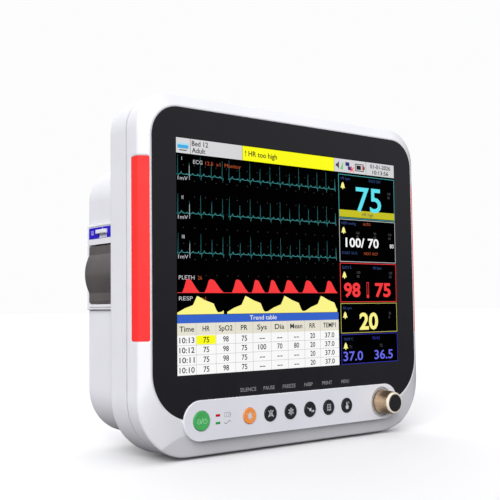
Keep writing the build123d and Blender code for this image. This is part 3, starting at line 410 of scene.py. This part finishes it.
def display_glass(name):
    """Dark anti-glare face of the display when its picture is black."""
    material, tree, bsdf = shader(name)
    tone = ramp_of(tree, noise(tree, 20, 2), (0.0004, 0.0004, 0.0006), (0.0007, 0.0007, 0.0010))
    tree.links.new(tone, bsdf.inputs["Base Color"])
    tree.links.new(range_of(tree, noise(tree, 90, 3), 0.30, 0.38), bsdf.inputs["Roughness"])
    bsdf.inputs["Specular IOR Level"].default_value = 0.0
    bumps(tree, bsdf, noise(tree, 3000, 0), 0.04, 0.0001)
    return material


def circuit(name):
    """Green coated circuit board with paler tracks."""
    material, tree, bsdf = shader(name)
    coords = tree.nodes.new("ShaderNodeTexCoord")
    tracks = tree.nodes.new("ShaderNodeTexBrick")
    tracks.inputs["Scale"].default_value = 160
    tracks.inputs["Color1"].default_value = (0.010, 0.10, 0.035, 1)
    tracks.inputs["Color2"].default_value = (0.014, 0.13, 0.045, 1)
    tracks.inputs["Mortar"].default_value = (0.05, 0.26, 0.10, 1)
    tree.links.new(coords.outputs["Object"], tracks.inputs["Vector"])
    tree.links.new(tracks.outputs["Color"], bsdf.inputs["Base Color"])
    tree.links.new(range_of(tree, noise(tree, 200, 2), 0.3, 0.45), bsdf.inputs["Roughness"])
    return material


def make_finishes():
    """Every finish by name."""
    white = linear(232, 232, 237)
    inks = {name: display_ink(name, linear(*colour)) for name, colour in UI_COLOURS.items()}
    inks.update({name: printed_ink(name, linear(*colour)) for name, colour in PRINT_COLOURS.items()})
    return inks | {
        "case_front": plastic("case_front_plastic", white, 0.42, bump=0.10, rounding=0.0035),
        "case_rear": plastic("case_rear_plastic", linear(228, 228, 233), 0.48, bump=0.22, grain=700),
        "surround": plastic("surround_acrylic", (0.0078, 0.0074, 0.0108), 0.30, bump=0.02, spread=0.10,
                            gloss=0.42),
        "display": display_glass("display_glass"),
        "alarm_red": glowing("alarm_red_lens", (0.97, 0.034, 0.032), 0.62),
        "panel_white": plastic("panel_white_plastic", linear(226, 226, 233), 0.40, bump=0.08),
        "key_green": plastic("key_green_plastic", linear(70, 172, 92), 0.38, bump=0.10),
        "key_orange": plastic("key_orange_plastic", linear(244, 148, 72), 0.38, bump=0.10),
        "key_black": plastic("key_black_plastic", (0.012, 0.012, 0.016), 0.36, bump=0.12, spread=0.1),
        "light_red": glowing("light_red_lens", (0.52, 0.004, 0.008), 0.4),
        "light_green": glowing("light_green_lens", (0.03, 0.29, 0.07), 0.4),
        "well_grey": plastic("well_grey_plastic", linear(182, 182, 186), 0.45, bump=0.12),
        "knob_metal": metal("knob_champagne_metal", (0.58, 0.42, 0.27), 0.34, stretch=(1, 0.04, 1), bump=0.15,
                            spread=0.25),
        "knob_cream": plastic("knob_cream_ring", linear(240, 229, 212), 0.26, bump=0.03),
        "knob_black": plastic("knob_black_cap", (0.010, 0.010, 0.012), 0.30, bump=0.08, spread=0.1),
        "steel": metal("zinc_steel", (0.56, 0.56, 0.57), 0.34, stretch=(1, 1, 0.2)),
        "pin_steel": metal("ground_steel", (0.60, 0.60, 0.61), 0.22, stretch=(0.2, 1, 1)),
        "brass": metal("turned_brass", (0.78, 0.58, 0.24), 0.28, stretch=(1, 0.1, 1)),
        "circuit_green": circuit("circuit_board"),
        "rubber_grey": rubber("grey_rubber", (0.10, 0.10, 0.105)),
        "rubber_black": rubber("black_rubber", (0.022, 0.022, 0.022)),
        "handle_grey": plastic("handle_grey_plastic", linear(196, 196, 202), 0.5, bump=0.3, grain=700),
        "module_metal": metal("folded_sheet", (0.62, 0.63, 0.64), 0.38, stretch=(0.08, 1, 1)),
        "pump_black": plastic("black_moulding", (0.035, 0.035, 0.038), 0.5, bump=0.3, spread=0.1),
        "battery_blue": plastic("battery_sleeve", (0.045, 0.06, 0.10), 0.32, bump=0.1, spread=0.1),
        "frame_white": plastic("recorder_white_plastic", linear(232, 232, 237), 0.38, bump=0.08),
        "band_blue": plastic("blue_film", (0.020, 0.004, 0.56), 0.45, bump=0.04, spread=0.06, gloss=0.12),
        "door_smoke": smoked("smoked_window"),
        "paper": plastic("thermal_paper", (0.86, 0.86, 0.83), 0.8, grain=1500, bump=0.3, patches=200),
        "socket_grey": plastic("socket_panel_plastic", linear(148, 152, 160), 0.45, bump=0.2),
        "socket_green": plastic("green_socket_plastic", (0.035, 0.26, 0.11), 0.35, bump=0.1, spread=0.06),
        "socket_blue": plastic("blue_socket_plastic", (0.03, 0.12, 0.42), 0.35, bump=0.1, spread=0.06),
        "socket_brown": plastic("brown_socket_plastic", (0.20, 0.09, 0.035), 0.35, bump=0.1, spread=0.08),
        "nickel": metal("nickel_plate", (0.66, 0.64, 0.60), 0.20, stretch=(0.2, 1, 1)),
        "inlet_black": plastic("inlet_moulding", (0.018, 0.018, 0.018), 0.45, bump=0.25, spread=0.1),
    }


def finish_cad_nodes(finishes):
    """Gives every carried-over node the finish of its slot."""
    for part in frame["record"]["subparts"]:
        node = nodes[part["node"]]
        node.data.materials.clear()
        node.data.materials.append(finishes[part["material_slot"]])


# ---------------------------------------------------------------- the lit picture
PICTURE_W, PICTURE_H = 304.1, 228.1  # millimetres
HEADER_H = 15.2
WAVES_W = 210.5
BOX_X0, BOX_X1 = 214.0, 303.6


def front_print(name, x, z, y, layer=0.05):
    """Print that faces the user, with its corner at a place of the front, in millimetres."""
    return Print(name, Vector((x, y, z)) * MM, (1, 0, 0), (0, 0, -1), layer)


def picture_print(name):
    low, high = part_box("lcd_panel")
    window_z = (low.z + high.z) / 2 / MM
    return front_print(name, -PICTURE_W / 2, window_z + PICTURE_H / 2, low.y / MM)


def make_header():
    """Strip along the top: bed, alarm message, small status marks and the clock."""
    page = picture_print("picture_header")
    page.block(0.4, 0.4, 80.3, HEADER_H, "ui_grey")
    page.block(80.7, 0.4, 207.8, HEADER_H, "ui_yellow")
    page.block(208.2, 0.4, PICTURE_W - 0.4, HEADER_H, "ui_grey")
    for x in (16.6, 257.5):
        page.block(x, 0.4, x + 0.4, HEADER_H, "ui_shadow", 1)
    page.block(2.0, 5.4, 14.6, 10.6, "ui_sky", 1)
    page.block(2.0, 5.4, 14.6, 7.2, "ui_pale_sky", 2)
    page.block(4.0, 11.8, 12.6, 12.8, "ui_shadow", 1)
    page.words("Bed 12", 18.6, 6.9, 4.8, "ui_ink", 1, weight=0.012)
    page.words("Adult", 18.6, 13.6, 4.8, "ui_ink", 1, weight=0.012)
    page.words("! HR too high", 84.0, 10.2, 5.2, "ui_ink", 1, width=42, weight=0.014)
    # loudspeaker, network and battery
    speaker = [(210.6, 6.2), (212.4, 6.2), (215.4, 3.2), (215.4, 12.2), (212.4, 9.2), (210.6, 9.2)]
    page.shape(speaker, "ui_shadow", 1)
    page.shape([(217.0, 12.2), (221.6, 12.2), (221.6, 3.4)], "ui_green", 1)
    page.block(225.4, 3.4, 231.4, 7.6, "ui_navy", 1)
    page.block(229.0, 7.9, 235.0, 12.0, "ui_navy", 2)
    page.line([(232.6, 8.4), (238.4, 13.8)], 1.1, "ui_red", 3)
    page.line([(238.4, 8.4), (232.6, 13.8)], 1.1, "ui_red", 3)
    page.frame(240.4, 3.8, 254.0, 12.2, 0.9, "ui_ink", 1)
    page.block(242.6, 5.6, 249.6, 10.4, "ui_ink", 1)
    page.block(251.2, 5.6, 252.6, 10.4, "ui_red", 1)
    page.block(254.0, 6.4, 255.6, 9.6, "ui_ink", 1)
    page.words("01-01-2026", 281.2, 6.9, 4.4, "ui_ink", 1, width=33, side="middle", weight=0.012)
    page.words("10:13:56", 281.2, 13.5, 4.4, "ui_ink", 1, width=26, side="middle", weight=0.012)
    page.finish()


HEART_BEAT = [  # along the beat, above the base line, both in millimetres
    (0.0, 0.0), (1.6, 0.0), (2.3, 1.5), (3.1, 0.0), (4.3, 0.0), (4.7, -1.2), (5.3, 18.5),
    (5.9, -4.2), (6.4, 0.0), (8.2, 0.2), (9.3, 2.4), (10.4, 0.2), (13.2, 0.0),
]
BEAT_STEP = 13.2
BEAT_SIZES = (1.0, 0.62, 1.0, 0.72, 0.9)  # the height of the drawn spikes varies


PULSE = [  # one pulse wave, as HEART_BEAT
    (0.0, 0.0), (2.2, 4.5), (4.4, 11.6), (5.6, 12.9), (8.4, 12.6), (10.4, 11.4), (13.0, 7.8), (16.0, 3.6),
    (19.4, 0.0),
]
PULSES = (  # where each pulse wave starts and ends
    (6.3, 26.3), (32.2, 55.1), (65.3, 86.1), (90.4, 107.6), (112, 128.2), (132, 153.3), (158.4, 180.9),
    (190.6, 209.1),
)
BREATH = [  # one breath, as HEART_BEAT
    (0.0, 1.8), (8.0, 5.6), (17.9, 8.8), (22.8, 17.6), (26.0, 16.4), (33.0, 13.2), (42.3, 10.2), (45.4, 4.0),
    (47.4, 1.6),
]


def heart_trace(x0, x1, base):
    """Points of one heart trace between two places."""
    points = []
    beat = 0
    start = x0 - 4.0
    while start < x1:
        size = BEAT_SIZES[beat % len(BEAT_SIZES)]
        for x, height in HEART_BEAT[:-1]:
            if x0 <= start + x <= x1:
                points.append((start + x, base - height * size))
        start += BEAT_STEP
        beat += 1
    return points


def make_waves():
    """Three heart traces, a pulse trace and a breathing trace on a dark field."""
    page = picture_print("picture_waves")
    for row in range(8):
        for column in range(16):
            x, y = 8.0 + column * 13.0, 26.0 + row * 15.2
            page.block(x, y, x + 0.7, y + 0.7, "ui_dot")
    for lead, base, gap in (("I", 35.6, 57.5), ("II", 73.2, 57.5), ("III", 111.2, 57.5)):
        page.words(lead, 6.5, base - 13.6, 3.4, "ui_soft", 1)
        page.words("1mV", 2.0, base + 5.6, 3.6, "ui_soft", 1, width=11.5)
        page.line([(15.4, base - 9), (15.4, base + 5)], 0.4, "ui_soft", 1)
        page.line(heart_trace(0.8, gap, base), 0.4, "ui_teal", 1)
        page.line(heart_trace(gap + 4.5, WAVES_W - 1, base), 0.4, "ui_teal", 1)
    page.words("ECG", 20.0, 24.4, 3.8, "ui_soft", 1, width=11)
    page.words("12.5  x1  Monitor", 34.5, 24.4, 3.6, "ui_orange", 1, width=44)
    page.words("PLETH", 2.6, 136.8, 3.8, "ui_soft", 1, width=18)
    page.words("26", 24.4, 136.8, 3.6, "ui_orange", 1)
    page.words("RESP", 2.6, 156.8, 3.8, "ui_soft", 1, width=15.8)
    page.words("x1", 29.5, 156.8, 3.6, "ui_orange", 1)
    base = 149.2
    for x0, x1 in PULSES:
        stretch = (x1 - x0) / PULSE[-1][0]
        page.shape([(x0 + x * stretch, base - height) for x, height in PULSE], "ui_red", 1)
    page.block(0.8, base, WAVES_W - 0.8, base + 0.5, "ui_red", 1)
    floor, breath = 170.2, 51.4
    for x0, x1 in ((0.6, 55.0), (59.4, WAVES_W - 2)):
        points = []
        start = x0
        while start < x1:
            points += [(start + x, floor - height) for x, height in BREATH if start + x < x1]
            start += breath
        points.append((x1, floor - 3.4))
        page.shape([(x0, floor)] + points + [(x1, floor)], "ui_cream", 1)
    page.finish()


COLUMNS = (0.6, 22.0, 45.4, 69.1, 91.2, 114.9, 137.6, 160.6, 183.1, 210.2)
TITLES = ("Time", "HR", "SpO2", "PR", "Sys", "Dia", "Mean", "RR", "TEMP1")
TABLE = (
    ("10:13", "75", "98", "75", "--", "--", "--", "20", "37.0"),
    ("10:12", "75", "98", "75", "100", "70", "80", "20", "37.0"),
    ("10:11", "75", "98", "75", "--", "--", "--", "20", "37.0"),
    ("10:10", "75", "98", "75", "--", "--", "--", "20", "37.0"),
)


def make_trend_table():
    page = picture_print("picture_trend_table")
    title_y, head_y, rows_y, bottom = 170.6, 178.6, 190.2, 227.8
    pitch = (bottom - rows_y) / len(TABLE)
    page.block(0.5, title_y, WAVES_W, head_y, "ui_blue")
    page.words("Trend table", 105, head_y - 2.0, 4.4, "ui_white", 1, width=35, side="middle")
    page.block(0.5, head_y, WAVES_W, rows_y, "ui_ivory")
    page.block(0.5, rows_y, WAVES_W, bottom, "ui_white")
    page.block(COLUMNS[1] + 0.4, rows_y + 0.4, COLUMNS[2] - 0.4, rows_y + pitch - 0.4, "ui_yellow", 1)
    for x in COLUMNS[1:-1]:
        page.block(x - 0.2, head_y, x + 0.2, bottom, "ui_line", 1)
    for i in range(1, len(TABLE)):
        page.block(0.5, rows_y + i * pitch - 0.2, WAVES_W, rows_y + i * pitch + 0.2, "ui_line", 2)
    for x0, x1, title in zip(COLUMNS, COLUMNS[1:], TITLES):
        width = min(18.5, 4.2 * len(title))
        page.words(title, (x0 + x1) / 2, rows_y - 3.6, 5.0, "ui_ink", 2, width, "middle", 0.012)
    for i, row in enumerate(TABLE):
        y = rows_y + (i + 1) * pitch - 2.2
        for x0, x1, value in zip(COLUMNS, COLUMNS[1:], row):
            width = 3.45 * len(value)
            page.words(value, (x0 + x1) / 2, y, 5.2, "ui_ink", 3, width, "middle", 0.012)
    page.finish()


def bell(page, x, y, finish, level=1, size=1.0):
    """Small alarm bell about a middle point."""
    side = [(-3.0, 2.4), (-2.2, 1.2), (-1.7, -1.4), (-0.8, -3.2), (0, -4.0)]
    outline = side + [(-dx, dy) for dx, dy in side[-2::-1]]
    page.shape([(x + dx * size * 1.2, y + dy * size) for dx, dy in outline], finish, level)
    page.disc(x, y + 3.1 * size, 0.8 * size, finish, level, 12)


SMALL_WORDS = (  # left end and base line, wording, ink
    (217.6, 23.4, "HR bpm", "ui_steel"), (262, 23.4, "PACE OFF", "ui_steel"),
    (217.6, 73.4, "NIBP mmHg", "ui_steel"), (251, 73.4, "AUTO", "ui_orange"),
    (217.6, 106.6, "START 10:12", "ui_steel"), (252, 106.6, "NEXT 10:27", "ui_orange"),
    (217.6, 122.6, "SpO2 %", "ui_steel"), (266, 122.6, "PR bpm", "ui_steel"),
    (217.6, 167.6, "RR rpm", "ui_steel"), (217.6, 201.8, "TEMP C", "ui_steel"),
    (262, 201.8, "TD 0.5", "ui_violet"), (226, 210.4, "T1", "ui_dot"), (274, 210.4, "T2", "ui_dot"),
)
ALARM_LIMITS = (  # left end and base line, upper limit, lower limit
    (240, 83.6, "160", "90"), (268, 83.6, "90", "50"), (292, 83.6, "110", "60"),
    (240, 128.0, "100", "90"), (292, 128.0, "120", "50"), (290, 174.0, "30", "8"),
    (292, 36.0, "120", "50"),
)


def make_values():
    """Framed fields with the large numbers on the right."""
    page = picture_print("picture_values")
    frames = ((17.4, 66.4, "ui_teal"), (67.4, 115.0, "ui_silver"), (116.2, 159.6, "ui_red"),
              (160.7, 193.8, "ui_olive"), (195.0, 227.8, "ui_violet"))
    for y0, y1, finish in frames:
        page.frame(BOX_X0, y0, BOX_X1, y1, 0.65, finish)
    for y in (30.2, 80.2, 129.8, 174.1, 207.9):
        bell(page, 220.6, y, "ui_cream")
    page.block(BOX_X0 + 0.8, 57.0, BOX_X1 - 0.8, 64.9, "ui_mustard")
    page.words("HR high", 259, 62.9, 3.9, "ui_shadow", 1, side="middle")
    page.words("75", 261.0, 57.4, 26.6, "ui_cyan", 2, side="middle", width=40.5, weight=0.012)
    page.words("100/ 70", 249.6, 98.2, 9.8, "ui_white", 1, side="middle", width=52.5, weight=0.02)
    page.words("98", 232.2, 153.4, 14.6, "ui_red", 1, side="middle", width=25.5, weight=0.03)
    page.words("75", 281.2, 153.4, 14.6, "ui_red", 1, side="middle", width=25.5, weight=0.03)
    page.frame(255.0, 137.4, 258.4, 155.0, 0.6, "ui_red", 1)
    page.block(255.6, 151.6, 257.8, 154.4, "ui_red", 1)
    page.words("20", 257.4, 189.8, 17.4, "ui_cream", 1, side="middle", width=29.5, weight=0.03)
    page.words("37.0", 231.9, 223.9, 9.8, "ui_lilac", 1, side="middle", width=30, weight=0.01)
    page.words("36.5", 280.2, 223.9, 9.8, "ui_lilac", 1, side="middle", width=30, weight=0.01)
    for x, y, text, finish in SMALL_WORDS:
        page.words(text, x, y, 3.0, finish, 1)
    for x, y, high, low in ALARM_LIMITS:
        page.words(high, x, y, 2.8, "ui_dot", 1)
        page.words(low, x, y + 4.4, 2.8, "ui_dot", 1)
    page.words("80", 297.5, 97.8, 4.6, "ui_white", 1, side="middle")
    page.finish()


# ---------------------------------------------------------------- printed marks
KEY_WORDS = ("SILENCE", "PAUSE", "FREEZE", "NIBP", "PRINT", "MENU")
KEYS = ("silence_key", "pause_key", "freeze_key", "nibp_key", "print_key", "menu_key")


def centre(node):
    low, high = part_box(node)
    return (low + high) / 2


def make_key_words():
    """Grey words on the dark surround, one above each key."""
    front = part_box("screen_surround")[0].y / MM
    page = front_print("key_words", 0, 0, front, 0.03)
    for word, key in zip(KEY_WORDS, KEYS):
        page.words(word, centre(key).x / MM, -62.4, 3.7, "print_grey", side="middle", width=2.9 * len(word))
    page.finish()


def key_print(name, key):
    """Print on the dished face of a key, with its corner at the key's middle."""
    low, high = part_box(key)
    dish = 0.30
    return front_print(name, (low.x + high.x) / 2 / MM, (low.z + high.z) / 2 / MM, low.y / MM + dish, 0.16)


def make_power_icon():
    page = key_print("power_icon", "power_key")
    page.ring(-3.5, 0.4, 2.2, 0.5, "print_mint")
    page.line([(-3.5, -0.7), (-3.5, 1.5)], 0.5, "print_mint")
    page.line([(-0.9, 2.8), (1.1, -2.8)], 0.5, "print_mint")
    page.ring(3.6, 0.4, 2.2, 0.5, "print_mint", start=-60, sweep=300)
    page.line([(3.6, -2.4), (3.6, 0.2)], 0.5, "print_mint")
    page.finish("power_key")


def make_silence_icon():
    page = key_print("silence_icon", "silence_key")
    bell(page, 0, 0, "print_white", 0, 0.95)
    page.line([(-3.4, -3.2), (-4.2, -1.2)], 0.5, "print_white")
    page.line([(3.4, -3.2), (4.2, -1.2)], 0.5, "print_white")
    page.finish("silence_key")


def make_pause_icon():
    page = key_print("pause_icon", "pause_key")
    side = [(-2.9, 2.2), (-1.9, 0.8), (-1.6, -1.2), (-0.8, -2.9), (0, -3.5)]
    page.line(side + [(-x, y) for x, y in side[-2::-1]], 0.5, "print_white", closed=True)
    page.line([(-3.3, -3.3), (3.3, 3.3)], 0.6, "print_white", 1)
    page.line([(3.3, -3.3), (-3.3, 3.3)], 0.6, "print_white", 1)
    page.finish("pause_key")


def make_freeze_icon():
    """Six-armed snowflake."""
    page = key_print("freeze_icon", "freeze_key")
    for arm in range(6):
        turn = math.radians(60 * arm + 90)
        along = Vector((math.cos(turn), math.sin(turn)))
        page.line([(0.2 * along.x, 0.2 * along.y), (4.0 * along.x, 4.0 * along.y)], 0.55, "print_white")
        for bend in (-50, 50):
            twig = Vector((math.cos(turn + math.radians(bend)), math.sin(turn + math.radians(bend))))
            root = along * 2.1
            page.line([tuple(root), tuple(root + twig * 1.5)], 0.4, "print_white", 1)
    page.finish("freeze_key")


def make_nibp_icon():
    """Cuff round an arm, with its bulb."""
    page = key_print("nibp_icon", "nibp_key")
    page.line([(-4.6, -2.2), (-2.8, -1.2), (-0.4, -0.6), (1.6, -1.2)], 0.6, "print_white")
    page.shape([(-1.8, -1.0), (1.0, -0.9), (1.4, 1.6), (-1.4, 1.5)], "print_white", 1)
    page.line([(0.8, 1.6), (2.0, 2.8), (3.4, 2.6)], 0.45, "print_white", 1)
    page.disc(4.0, 1.9, 1.1, "print_white", 1, 14)
    page.finish("nibp_key")


def make_print_icon():
    page = key_print("print_icon", "print_key")
    page.frame(-2.7, -3.4, 2.7, 3.4, 0.5, "print_white")
    for y in (-1.7, -0.2):
        page.block(-1.6, y, 1.6, y + 0.45, "print_white", 1)
    trace = [(-1.6, 2.2), (-0.6, 2.2), (-0.1, 1.2), (0.4, 2.6), (0.8, 2.2), (1.6, 2.2)]
    page.line(trace, 0.35, "print_white", 1)
    page.finish("print_key")


def make_menu_icon():
    """Hand with one finger on a page."""
    page = key_print("menu_icon", "menu_key")
    page.shape([(-1.4, 3.9), (-2.3, 1.0), (-1.7, 0.4), (-0.9, 1.2), (-0.9, -3.8), (0.3, -3.8), (0.4, -0.4),
                (1.9, 0.1), (2.2, 1.4), (1.6, 3.9)], "print_white")
    page.line([(1.4, -3.6), (2.6, -3.6), (2.6, -1.2)], 0.4, "print_white")
    page.finish("menu_key")


def mains_wave(x0, x1, y, steps):
    """Points of one full wave about the height y, the mark for alternating current."""
    turns = [2 * math.pi * i / steps for i in range(steps + 1)]
    return [(x0 + (x1 - x0) * i / steps, y + 1.3 * math.sin(turn)) for i, turn in enumerate(turns)]


def make_light_icons():
    """Battery and mains marks beside the two status lights."""
    panel_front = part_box("control_panel")[0].y / MM
    page = front_print("light_icons", 0, 0, panel_front, 0.03)
    x0, x1 = -99.2, -91.0
    battery_z, mains_z = centre("power_light").z / MM, centre("battery_light").z / MM
    page.frame(x0, -battery_z - 2.3, x1 - 0.8, -battery_z + 2.3, 0.4, "print_grey")
    page.block(x1 - 0.8, -battery_z - 1.0, x1, -battery_z + 1.0, "print_grey")
    for x in (x0 + 2.6, x0 + 5.2):
        page.block(x, -battery_z - 1.5, x + 0.35, -battery_z + 1.5, "print_grey", 1)
    wave = mains_wave(x0, x1, -mains_z, 16)
    page.line(wave, 0.5, "print_dark")
    page.finish()


def make_band_marks():
    """Small page mark and release arrow on the blue strip of the recorder."""
    low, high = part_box("recorder_faceplate")
    page = Print("band_marks", (low.x, 0, 0), (0, -1, 0), (0, 0, -1), 0.03)
    z = -(low.z + high.z) / 2 / MM
    page.frame(-65.6, z - 2.6, -60.4, z + 1.6, 0.4, "print_pale")
    for i in range(3):
        page.block(-64.6, z - 1.6 + i * 1.0, -61.4, z - 1.2 + i * 1.0, "print_pale", 1)
    top = -(high.z / MM - 1.2)
    page.shape([(-41.0, top - 0.4), (-39.4, top + 1.0), (-42.6, top + 1.0)], "print_pale")
    page.finish()


def make_socket_marks():
    """Names of the patient sockets, above each of them."""
    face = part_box("socket_panel")[1].x
    page = Print("socket_marks", (face, 0, 0), (0, 1, 0), (0, 0, -1), 0.03)
    for word, node in (("ECG", "ecg_socket"), ("SpO2", "spo2_socket"), ("NIBP", "nibp_port")):
        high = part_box(node)[1]
        page.words(word, centre(node).y / MM, -high.z / MM - 1.6, 3.6, "print_white", side="middle")
    low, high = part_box("temp_sockets")
    for word, y in (("T1", low.y / MM + 9), ("T2", high.y / MM - 9)):
        page.words(word, y, -high.z / MM - 1.6, 3.6, "print_white", side="middle")
    page.finish()


def make_rear_marks():
    """Mains, earth and network marks beside the rear connectors."""
    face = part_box("rear_panel")[1].y
    page = Print("rear_marks", (0, face, 0), (-1, 0, 0), (0, 0, -1), 0.03)
    inlet, earth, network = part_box("power_inlet"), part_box("earth_post"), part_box("network_port")
    x, y = -centre("power_inlet").x / MM, -inlet[1].z / MM - 3.2
    wave = mains_wave(x - 4, x + 4, y, 14)
    page.line(wave, 0.5, "print_dark")
    x, y = -centre("earth_post").x / MM, -earth[1].z / MM - 7.0
    page.line([(x, y - 1), (x, y + 1)], 0.5, "print_dark")
    for i, half in enumerate((3.0, 2.0, 1.0)):
        page.block(x - half, y + 1.0 + i * 1.2, x + half, y + 1.5 + i * 1.2, "print_dark", 1)
    x, y = -centre("network_port").x / MM, -network[1].z / MM - 6.6
    page.frame(x - 1.6, y - 0.6, x + 1.6, y + 1.6, 0.4, "print_dark")
    page.block(x - 0.2, y + 1.6, x + 0.2, y + 2.8, "print_dark")
    for dx in (-3.2, 3.2):
        page.frame(x + dx - 1.3, y + 3.2, x + dx + 1.3, y + 5.0, 0.4, "print_dark")
    page.block(x - 3.2, y + 2.6, x + 3.2, y + 3.0, "print_dark", 1)
    page.finish()


def make_battery_mark():
    """Outline of a battery on its door."""
    low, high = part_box("battery_door")
    page = Print("battery_mark", (0, high.y, 0), (-1, 0, 0), (0, 0, -1), 0.01)
    x, y = -(low.x + high.x) / 2 / MM, -(low.z + high.z) / 2 / MM
    page.frame(x - 9, y - 5, x + 9, y + 5, 0.8, "print_dark")
    page.block(x + 9, y - 2.2, x + 10.6, y + 2.2, "print_dark")
    page.block(x - 6.2, y - 0.4, x - 2.6, y + 0.4, "print_dark", 1)
    page.block(x + 2.6, y - 0.4, x + 6.2, y + 0.4, "print_dark", 1)
    page.block(x + 4.0, y - 1.8, x + 4.8, y + 1.8, "print_dark", 2)
    page.finish("battery_door")


def make_prints():
    make_header()
    make_waves()
    make_trend_table()
    make_values()
    make_key_words()
    make_power_icon()
    make_silence_icon()
    make_pause_icon()
    make_freeze_icon()
    make_nibp_icon()
    make_print_icon()
    make_menu_icon()
    make_light_icons()
    make_band_marks()
    make_socket_marks()
    make_rear_marks()
    make_battery_mark()


UI_COLOURS = {
    "ui_grey": (214, 214, 216), "ui_yellow": (255, 255, 0), "ui_shadow": (70, 70, 74),
    "ui_sky": (60, 170, 225), "ui_pale_sky": (170, 220, 240), "ui_ink": (12, 12, 16),
    "ui_green": (120, 200, 120), "ui_navy": (30, 40, 120), "ui_red": (252, 52, 56),
    "ui_teal": (70, 168, 168), "ui_dot": (70, 70, 74), "ui_white": (252, 252, 252),
    "ui_orange": (168, 70, 28), "ui_soft": (196, 196, 200), "ui_cream": (255, 248, 138),
    "ui_blue": (48, 98, 204), "ui_ivory": (232, 228, 212), "ui_line": (186, 186, 190),
    "ui_silver": (190, 196, 200), "ui_olive": (196, 190, 90), "ui_violet": (48, 48, 170),
    "ui_mustard": (196, 190, 20), "ui_cyan": (92, 226, 240), "ui_lilac": (104, 106, 236),
    "ui_steel": (38, 64, 114),
}
PRINT_COLOURS = {
    "print_grey": (150, 150, 154), "print_white": (206, 208, 212), "print_mint": (156, 224, 164),
    "print_dark": (84, 84, 90), "print_pale": (190, 192, 222),
}


bpy.context.scene.view_settings.view_transform = "Standard"
finishes = make_finishes()
finish_cad_nodes(finishes)
make_prints()
make_camera()
make_floor()
make_world()
make_sun("key_light", (-0.69, -0.60, 0.42), 2.75, 45)
make_sun("top_light", (0.25, 0.15, 1.0), 0.15, 70)
make_sun("rear_light", (0.45, 0.80, 0.35), 0.85, 60)
